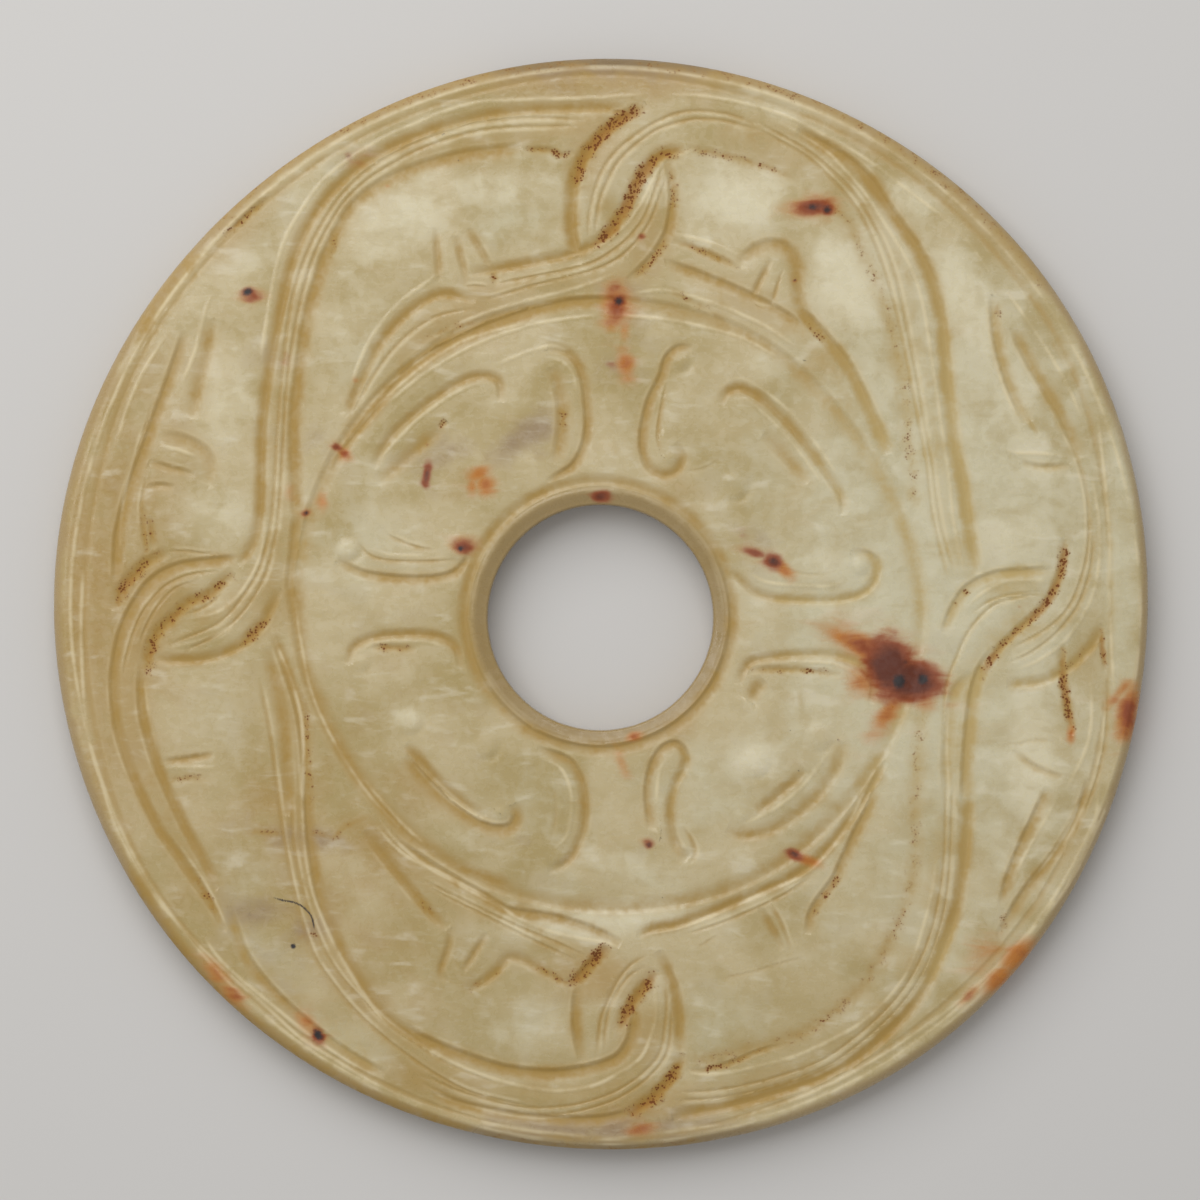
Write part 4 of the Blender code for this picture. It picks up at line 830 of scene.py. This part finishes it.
def spot_fields(points):
    """Strength of the iron spots' orange halos, dark red and blue-black cores, and of cracks."""
    orange, red, black = np.zeros((3, len(points)))
    for x, y, long, wide, turn, halo, dark, core in SPOTS:
        away = ellipse(points, x, y, long, wide, turn)
        orange = np.maximum(orange, halo * np.exp(-HALO_FALL * away))
        red = np.maximum(red, dark * np.exp(-RED_FALL * away))
        black = np.maximum(black, core * np.exp(-CORE_FALL * away))
    for width, strength, *knots in CRACKS:
        found, distance, place, length = beside(curve_through(knots), points, 4 * width)
        fade = run_out(place, length, False, CRACK_FADE)
        raise_to(black, found, strength * bell(distance, width) * fade)
    return orange, red, black


def tone(points, patches):
    """Strength of one tone: the strongest of its soft patches at each point."""
    total = np.zeros(len(points))
    for x, y, long, wide, turn, strength in patches:
        total = np.maximum(total, strength * np.exp(-ellipse(points, x, y, long, wide, turn)))
    return total


def rim_radius(angles):
    """Radius of the slightly uneven rim at each angle."""
    radius = np.full_like(angles, RIM_RADIUS)
    for waves, height, crest in RIM_WAVES:
        radius += height * np.cos(waves * angles - math.radians(crest))
    return radius


def edge_distances(points):
    """Distance of each point from the rim and from the bore, inwards on the stone."""
    from_rim = rim_radius(np.arctan2(points[:, 1], points[:, 0])) - np.hypot(*points.T)
    from_bore = np.hypot(*(points - BORE_CENTRE).T) - BORE_RADIUS
    return from_rim, from_bore


def face_height(points):
    """Height of the carved face.

    A low crown, rounded at the rim and sloping at the lip, less the cuts and the polish waves,
    plus the bosses, and never above the full thickness.
    """
    from_rim, from_bore = edge_distances(points)
    share = np.clip(from_bore / (from_bore + from_rim), 0, 1)
    height = THICKNESS - CROWN * share - carved_depth(points, FACE_CUTS) + bosses(points)
    height -= POLISH * polish_waves(points)
    shy = np.clip(1 - from_rim / RIM_ROUND, 0, 1)
    height -= RIM_ROUND * (1 - np.sqrt(1 - shy * shy))
    height -= LIP_DROP * (1 - smooth(from_bore / LIP_WIDTH))
    return np.minimum(height, THICKNESS)


def section_rows():
    """Closed cross-section from the bore over the face and rim and back along the underside.

    A row is (share, inset, height): share 0 lies on the bore and 1 on the rim, and inset is
    added to the radius. Returns the rows and the two slices that lie on the face and the back,
    whose heights are worked out from their places.
    """
    quarter = np.linspace(0, math.pi / 2, ROUND_ROWS)
    lip_top = THICKNESS - LIP_DROP - BORE_SLOPE[1]
    rows = [(0.0, 0.0, FOOT_ROUND + (lip_top - FOOT_ROUND) * k / WALL_ROWS)
            for k in range(1, WALL_ROWS + 1)]
    face_start = len(rows)
    rows += [(share, BORE_SLOPE[0] * (1 - share) - RIM_ROUND * share, 0.0)
             for share in np.linspace(0, 1, FACE_ROWS)]
    rows += [(1.0, RIM_ROUND * (math.sin(angle) - 1), 0.0) for angle in quarter[1:-1]]
    face = slice(face_start, len(rows))
    rim_top = THICKNESS - CROWN - RIM_ROUND
    rows += [(1.0, 0.0, rim_top + (FOOT_ROUND - rim_top) * k / (WALL_ROWS - 1))
             for k in range(WALL_ROWS)]
    rows += [(1.0, FOOT_ROUND * (math.sin(angle) - 1), FOOT_ROUND * (1 - math.cos(angle)))
             for angle in quarter[-2:0:-1]]
    back_start = len(rows)
    rows += [(share, FOOT_ROUND * (1 - 2 * share), 0.0) for share in np.linspace(1, 0, BACK_ROWS)]
    back = slice(back_start, len(rows))
    rows += [(0.0, FOOT_ROUND * (1 - math.sin(angle)), FOOT_ROUND * (1 - math.cos(angle)))
             for angle in quarter[1:]]
    return np.array(rows), face, back


def paint_weight(points):
    """How much the ochre, rust, painted highlight lines and spots change near each point,
    as one number from 0 to about 2.
    """
    ochre, rust, worn = stains_and_highlights(points, FACE_CUTS)
    orange, red, black = spot_fields(points)
    return 0.4 * ochre + 0.4 * rust + 0.8 * worn + 0.7 * orange + red + black


def disc_grid():
    """Points of the carved disc in mm, as rows (cross-section) by columns (angle).

    The face also carries the false relief of its stains, so that thinning keeps points there.
    """
    rows, face, back = section_rows()
    angles = 2 * np.pi * np.arange(COLUMNS) / COLUMNS
    share, inset, height = (column[:, None] for column in rows.T)
    radius = (1 - share) * BORE_RADIUS + share * rim_radius(angles)[None, :] + inset
    x = (1 - share) * BORE_CENTRE[0] + radius * np.cos(angles)
    y = (1 - share) * BORE_CENTRE[1] + radius * np.sin(angles)
    z = np.broadcast_to(height, x.shape).copy()
    above = np.column_stack([x[face].ravel(), y[face].ravel()])
    below = np.column_stack([x[back].ravel(), y[back].ravel()])
    top = face_height(above) + PAINT_RELIEF * paint_weight(above)
    z[face] = top.reshape(x[face].shape)
    z[back] = carved_depth(below, BACK_CUTS).reshape(x[back].shape)
    return np.stack([x, y, z], axis=-1)


def grid_mesh(grid, name):
    """Mesh of a grid of points that closes on itself in both directions."""
    rows, columns = grid.shape[:2]
    index = np.arange(rows * columns).reshape(rows, columns)
    next_row = np.roll(index, -1, axis=0)
    faces = np.stack([index, next_row, np.roll(next_row, -1, axis=1), np.roll(index, -1, axis=1)],
                     axis=-1).reshape(-1, 4)
    mesh = bpy.data.meshes.new(name)
    mesh.vertices.add(rows * columns)
    mesh.vertices.foreach_set("co", grid.reshape(-1).astype(np.float32))
    mesh.loops.add(faces.size)
    mesh.loops.foreach_set("vertex_index", faces.reshape(-1).astype(np.int32))
    mesh.polygons.add(len(faces))
    mesh.polygons.foreach_set("loop_start", np.arange(0, faces.size, 4, dtype=np.int32))
    mesh.update(calc_edges=True)
    return mesh


def added(name, data, place=(0, 0, 0)):
    """A new object in the scene, at a place."""
    thing = bpy.data.objects.new(name, data)
    bpy.context.scene.collection.objects.link(thing)
    thing.location = place
    return thing


def thinned(mesh, triangles):
    """The mesh with about so many triangles, most of them kept where the relief bends.

    Every point has half weight in one group, so that long edges cost more to make than short
    ones and the flats keep an even net.
    """
    thick = added("working_grid", mesh)
    even = thick.vertex_groups.new(name="even")
    even.add(range(len(mesh.vertices)), 0.5, 'REPLACE')
    fewer = thick.modifiers.new("fewer", 'DECIMATE')
    fewer.ratio = triangles / (2 * len(mesh.polygons))
    fewer.vertex_group = even.name
    fewer.vertex_group_factor = EVENNESS
    graph = bpy.context.evaluated_depsgraph_get()
    result = bpy.data.meshes.new_from_object(thick.evaluated_get(graph))
    bpy.data.objects.remove(thick, do_unlink=True)
    bpy.data.meshes.remove(mesh)
    return result


def exact_face(flat, mask):
    """Heights of the carved face on the mask, and its normals, which are zero off the mask.

    A normal comes from the slope of the face across a small step each way.
    """
    here = face_height(flat[mask])
    slope_x = (face_height(flat[mask] + (SLOPE_STEP, 0)) - here) / SLOPE_STEP
    slope_y = (face_height(flat[mask] + (0, SLOPE_STEP)) - here) / SLOPE_STEP
    normals = np.zeros((len(flat), 3))
    steep = np.column_stack([-slope_x, -slope_y, np.ones_like(here)])
    normals[mask] = steep / np.linalg.norm(steep, axis=1, keepdims=True)
    return here, normals


def paint(mesh, flat, heights):
    """Store the fields that the stone's material reads, one number per point each.

    The face's own stains and painted highlight lines fade out down the rim and the bore; the
    back has its rings' ochre.
    """
    upper = smooth((heights - 1.5) / 2)
    ochre, rust, worn = stains_and_highlights(flat, FACE_CUTS)
    under = stains_and_highlights(flat, BACK_CUTS)[0]
    orange, red, black = spot_fields(flat)
    from_rim, from_bore = edge_distances(flat)
    # The shoulder-line field is a painted highlight along the cuts and ridges, partly wear
    fields = {"ochre": ochre * upper + 0.6 * under * (1 - upper), "rust": rust * upper,
              "worn": worn * upper, "orange": orange, "red": red, "black": black * upper,
              "pale": tone(flat, PALE_AND_BOSS_HIGHLIGHTS), "tan": tone(flat, TAN), "cool": tone(flat, COOL),
              "murky": tone(flat, MURKY), "from_rim": from_rim, "from_bore": from_bore}
    for name, values in fields.items():
        layer = mesh.attributes.new(name, 'FLOAT', 'POINT')
        layer.data.foreach_set("value", np.asarray(values, np.float32))


def fitted(places):
    """Places turned from mm into metres, centred in the frame's box and no wider than it."""
    low, high = np.array(FRAME_BOX)
    centred = places.copy()
    centred[:, :2] -= (places.min(axis=0)[:2] + places.max(axis=0)[:2]) / 2
    centred *= SCALE
    size = centred.max(axis=0) - centred.min(axis=0)
    shrink = np.minimum(1, (high - low) / size)
    centred *= (shrink[0], shrink[1], 1)
    centred[:, :2] += (low + high)[:2] / 2
    return centred


def make_disc():
    """The carved disc in the frame's place, with its painted fields."""
    mesh = thinned(grid_mesh(disc_grid(), "carved_disc"), TRIANGLES)
    places = np.empty(3 * len(mesh.vertices), np.float32)
    mesh.vertices.foreach_get("co", places)
    places = places.reshape(-1, 3).astype(float)
    flat = places[:, :2].copy()
    from_rim, from_bore = edge_distances(flat)
    on_face = (places[:, 2] > THICKNESS / 2) & (from_rim > 0.5 * RIM_ROUND) & (from_bore > 0.15)
    places[on_face, 2], normals = exact_face(flat, on_face)
    paint(mesh, flat, places[:, 2])
    mesh.vertices.foreach_set("co", fitted(places).reshape(-1).astype(np.float32))
    mesh.shade_smooth()
    mesh.normals_split_custom_set_from_vertices(normals)
    return added("carved_disc", mesh)


# ---------------------------------------------------------------- material

def linked(tree, kind, **settings):
    """A node of one kind; settings name its properties, and its inputs as values or sockets."""
    node = tree.nodes.new(kind)
    inputs = settings.pop("inputs", {})
    for key, value in settings.items():
        setattr(node, key, value)
    for key, value in inputs.items():
        if isinstance(value, bpy.types.NodeSocket):
            tree.links.new(value, node.inputs[key])
        else:
            node.inputs[key].default_value = value
    return node


def field(tree, name):
    """A painted field of the mesh."""
    return linked(tree, "ShaderNodeAttribute", attribute_name=name).outputs["Fac"]


def maths(tree, operation, *values):
    """One step of arithmetic."""
    return linked(tree, "ShaderNodeMath", operation=operation,
                  inputs=dict(enumerate(values))).outputs[0]


def times(tree, first, second):
    """Product of two values."""
    return maths(tree, 'MULTIPLY', first, second)


def ramp(tree, value, low, high, to_low=0.0, to_high=1.0):
    """Value mapped smoothly from low..high to to_low..to_high."""
    return linked(tree, "ShaderNodeMapRange", interpolation_type='SMOOTHSTEP',
                  inputs={"Value": value, "From Min": low, "From Max": high,
                          "To Min": to_low, "To Max": to_high}).outputs[0]


def noise(tree, where, size, detail, warp):
    """Noise whose features are about so many millimetres across."""
    return linked(tree, "ShaderNodeTexNoise",
                  inputs={"Vector": where, "Scale": 1.0 / (size * SCALE), "Detail": detail,
                          "Distortion": warp}).outputs["Fac"]


def grains(tree, where, size):
    """Distance to the nearest of many scattered grains, in grain sizes."""
    return linked(tree, "ShaderNodeTexVoronoi",
                  inputs={"Vector": where, "Scale": 1.0 / (size * SCALE)}).outputs["Distance"]


def mixed(tree, amount, first, second):
    """Colour mixed from the first to the second; a plain colour is three numbers."""
    first, second = ((*colour, 1.0) if isinstance(colour, tuple) else colour
                     for colour in (first, second))
    return linked(tree, "ShaderNodeMix", data_type='RGBA',
                  inputs={0: amount, 6: first, 7: second}).outputs[2]


def broken(tree, value, pattern, amount):
    """A field with a noise pattern added to it, so that its edge is ragged."""
    return maths(tree, 'ADD', value, ramp(tree, pattern, 0.25, 0.75, -amount, amount))


def stone_patterns(tree):
    """The noises that the stone's colour and surface share, from clouds down to single grains."""
    where = linked(tree, "ShaderNodeTexCoord").outputs["Object"]
    along = linked(tree, "ShaderNodeMapping", inputs={
        "Vector": where, "Rotation": (0, 0, FIBRE_TURN), "Scale": FIBRE_STRETCH}).outputs[0]
    return Patterns(where=where, cloud=noise(tree, where, 11, 2.5, 0.5),
                    wisp=noise(tree, where, 3.6, 3.0, 0.3), fine=noise(tree, where, 0.9, 4.0, 0.4),
                    grain=noise(tree, where, 0.25, 2.0, 0.0), fibre=noise(tree, along, 1.5, 3.5, 0.5),
                    hair=noise(tree, along, 0.4, 2.0, 0.4))


def bare_stone(tree, patterns):
    """Olive and cream clouds, the painted tones, and milky cotton, veils and hairs in them."""
    cloud, wisp, fine, fibre = patterns.cloud, patterns.wisp, patterns.fine, patterns.fibre
    colour = mixed(tree, ramp(tree, cloud, 0.34, 0.66), OLIVE, CREAM)
    for name, tint, amount, ragged in TINTS:
        part = broken(tree, field(tree, name), wisp, ragged)
        colour = mixed(tree, ramp(tree, part, 0.08, 1.0, 0.0, amount), colour, tint)
    cotton = times(tree, ramp(tree, fibre, 0.50, 0.72), ramp(tree, wisp, 0.42, 0.62))
    veil = ramp(tree, fine, 0.45, 0.70)
    hair = ramp(tree, patterns.hair, 0.56, 0.74)
    shade = times(tree, ramp(tree, fibre, 0.50, 0.30), ramp(tree, wisp, 0.58, 0.40))
    for part, amount, tint in ((cotton, 0.38, MILK), (veil, 0.05, MILK), (hair, 0.11, MILK),
                               (shade, 0.30, OLIVE)):
        colour = mixed(tree, times(tree, part, amount), colour, tint)
    return colour


def browned_edges(tree, patterns, colour):
    """The tan lip of the bore and the brown of the rim, thinner where the stone is cool."""
    lip = ramp(tree, field(tree, "from_bore"), 2.6, 1.2, 0.0, 0.85)
    colour = mixed(tree, lip, colour, LIP_TAN)
    rim = broken(tree, ramp(tree, field(tree, "from_rim"), 1.7, 0.3), patterns.wisp, 0.22)
    rim = times(tree, rim, ramp(tree, field(tree, "cool"), 0.25, 0.8, 1.0, 0.55))
    brown = mixed(tree, ramp(tree, field(tree, "murky"), 0.1, 0.9), RIM_BROWN, DARK_RIM)
    return mixed(tree, ramp(tree, rim, 0.15, 0.95, 0.0, 0.85), colour, brown)


def soiled_and_highlighted_cuts(tree, patterns, colour):
    """Ochre soil in the cuts and the painted highlight line of the worn shoulder beside them. Returns
    colour and ochre.
    """
    ochre = broken(tree, field(tree, "ochre"), patterns.fine, 0.12)
    ochre = times(tree, ochre, ramp(tree, patterns.wisp, 0.3, 0.7, 1.25, 0.7))
    soil = mixed(tree, ramp(tree, field(tree, "cool"), 0.25, 0.8), OCHRE, PALE_OCHRE)
    colour = mixed(tree, ramp(tree, ochre, 0.05, 1.2, 0.0, 0.95), colour, soil)
    # Painted highlight: a light cream line along cut shoulders and ridge crests, partly worn polish
    worn = times(tree, field(tree, "worn"), ramp(tree, patterns.wisp, 0.35, 0.65, 0.35, 1.1))
    return mixed(tree, ramp(tree, worn, 0.05, 1.0, 0.0, 0.62), colour, HIGHLIGHT_CREAM), ochre


def rusted_cuts(tree, patterns, colour):
    """Rust in the cuts, with dark specks that crowd as it grows. Returns colour, rust, specks."""
    rust = times(tree, field(tree, "rust"), ramp(tree, patterns.wisp, 0.38, 0.60, 0.68, 1.12))
    rust = broken(tree, rust, patterns.fine, 0.26)
    colour = mixed(tree, ramp(tree, rust, 0.25, 1.35, 0.0, 0.64), colour, RUST)
    away = maths(tree, 'ADD', grains(tree, patterns.where, SPECK_SIZE),
                 ramp(tree, patterns.fine, 0.38, 0.62, 0.34, -0.08))
    away = maths(tree, 'SUBTRACT', away, ramp(tree, rust, 0.6, 1.4, 0.0, 0.22))
    specks = times(tree, ramp(tree, away, 0.40, 0.24), ramp(tree, rust, 0.25, 0.8))
    return mixed(tree, times(tree, specks, 0.92), colour, DARK_RUST), rust, specks


def iron_spots(tree, patterns, colour):
    """Orange halos, dark red spots and their blue-black cores. Returns colour and red."""
    orange = broken(tree, field(tree, "orange"), patterns.fibre, 0.18)
    red = broken(tree, field(tree, "red"), patterns.fibre, 0.16)
    red = broken(tree, red, patterns.fine, 0.06)
    black = broken(tree, field(tree, "black"), patterns.grain, 0.10)
    for part, low, high, amount, tint in ((orange, 0.08, 1.0, 0.95, ORANGE),
                                          (red, 0.16, 0.75, 0.92, IRON_RED),
                                          (red, 0.55, 1.25, 0.9, IRON_BROWN),
                                          (black, 0.30, 1.05, 1.0, IRON_BLACK)):
        colour = mixed(tree, ramp(tree, part, low, high, 0.0, amount), colour, tint)
    return colour, red


def jade_material():
    """Olive-cream jade with clouds, ochre and rust in its cuts, and iron spots.

    The stone is polished, and duller where it is stained.
    """
    material = bpy.data.materials.new("carved_jade")
    material.use_nodes = True
    tree = material.node_tree
    shader = tree.nodes["Principled BSDF"]
    patterns = stone_patterns(tree)
    colour = browned_edges(tree, patterns, bare_stone(tree, patterns))
    colour, ochre = soiled_and_highlighted_cuts(tree, patterns, colour)
    colour, rust, specks = rusted_cuts(tree, patterns, colour)
    colour, red = iron_spots(tree, patterns, colour)
    tree.links.new(colour, shader.inputs["Base Color"])

    rough = ramp(tree, patterns.wisp, 0.3, 0.7, *POLISHED)
    for stain in (times(tree, ochre, 0.26), times(tree, rust, 0.6),
                  ramp(tree, red, 0.2, 0.8, 0.0, 0.4)):
        rough = maths(tree, 'ADD', rough, stain)
    tree.links.new(maths(tree, 'MINIMUM', rough, 0.95), shader.inputs["Roughness"])

    relief = times(tree, specks, -0.2)
    for part, amount in ((patterns.fine, 0.6), (patterns.grain, 0.25), (patterns.fibre, 1.2)):
        relief = maths(tree, 'ADD', relief, times(tree, part, amount))
    bump = linked(tree, "ShaderNodeBump", inputs={"Height": relief, "Strength": 0.35,
                                                  "Distance": BUMP_HEIGHT})
    tree.links.new(bump.outputs["Normal"], shader.inputs["Normal"])
    shader.inputs["Subsurface Weight"].default_value = 0.18
    shader.inputs["Subsurface Radius"].default_value = (1.0, 0.9, 0.6)
    shader.inputs["Subsurface Scale"].default_value = 0.001
    return material


# ---------------------------------------------------------------- studio

def pale_floor():
    """A wide plain floor, a hair below the stone so that the two never share a plane."""
    mesh = bpy.data.meshes.new("floor")
    corners = [(x * FLOOR_HALF, y * FLOOR_HALF, FLOOR_HEIGHT)
               for x, y in ((-1, -1), (1, -1), (1, 1), (-1, 1))]
    mesh.from_pydata(corners, [], [(0, 1, 2, 3)])
    cover = bpy.data.materials.new("pale_floor")
    cover.use_nodes = True
    cover.node_tree.nodes["Principled BSDF"].inputs["Base Color"].default_value = FLOOR_COLOUR
    cover.node_tree.nodes["Principled BSDF"].inputs["Roughness"].default_value = 0.9
    mesh.materials.append(cover)
    return added("floor", mesh)


def soft_light():
    """A broad lamp at the upper left, turned to the disc, in an evenly lit room."""
    lamp = bpy.data.lights.new("key", 'AREA')
    lamp.energy = KEY_WATTS
    lamp.size = KEY_SIZE
    key = added("key", lamp, KEY_PLACE)
    key.rotation_euler = (-mathutils.Vector(KEY_PLACE)).to_track_quat('-Z', 'Y').to_euler()
    world = bpy.data.worlds.new("soft_room")
    world.use_nodes = True
    world.node_tree.nodes["Background"].inputs["Color"].default_value = (1, 1, 1, 1)
    world.node_tree.nodes["Background"].inputs["Strength"].default_value = ROOM_LIGHT
    bpy.context.scene.world = world


def camera_above():
    """A camera looking straight down on the face, as wide as the view at the face's height."""
    lens = bpy.data.cameras.new("camera")
    lens.sensor_width = SENSOR_WIDTH
    lens.lens = SENSOR_WIDTH * CAMERA_DISTANCE / VIEW_WIDTH
    height = THICKNESS * SCALE + CAMERA_DISTANCE
    bpy.context.scene.camera = added("camera", lens, (*VIEW_CENTRE, height))
    bpy.context.scene.view_settings.view_transform = 'Standard'


disc = make_disc()
disc.data.materials.clear()
disc.data.materials.append(jade_material())
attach(disc, "root")
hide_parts("jade_disc")
floor = pale_floor()
soft_light()
camera_above()
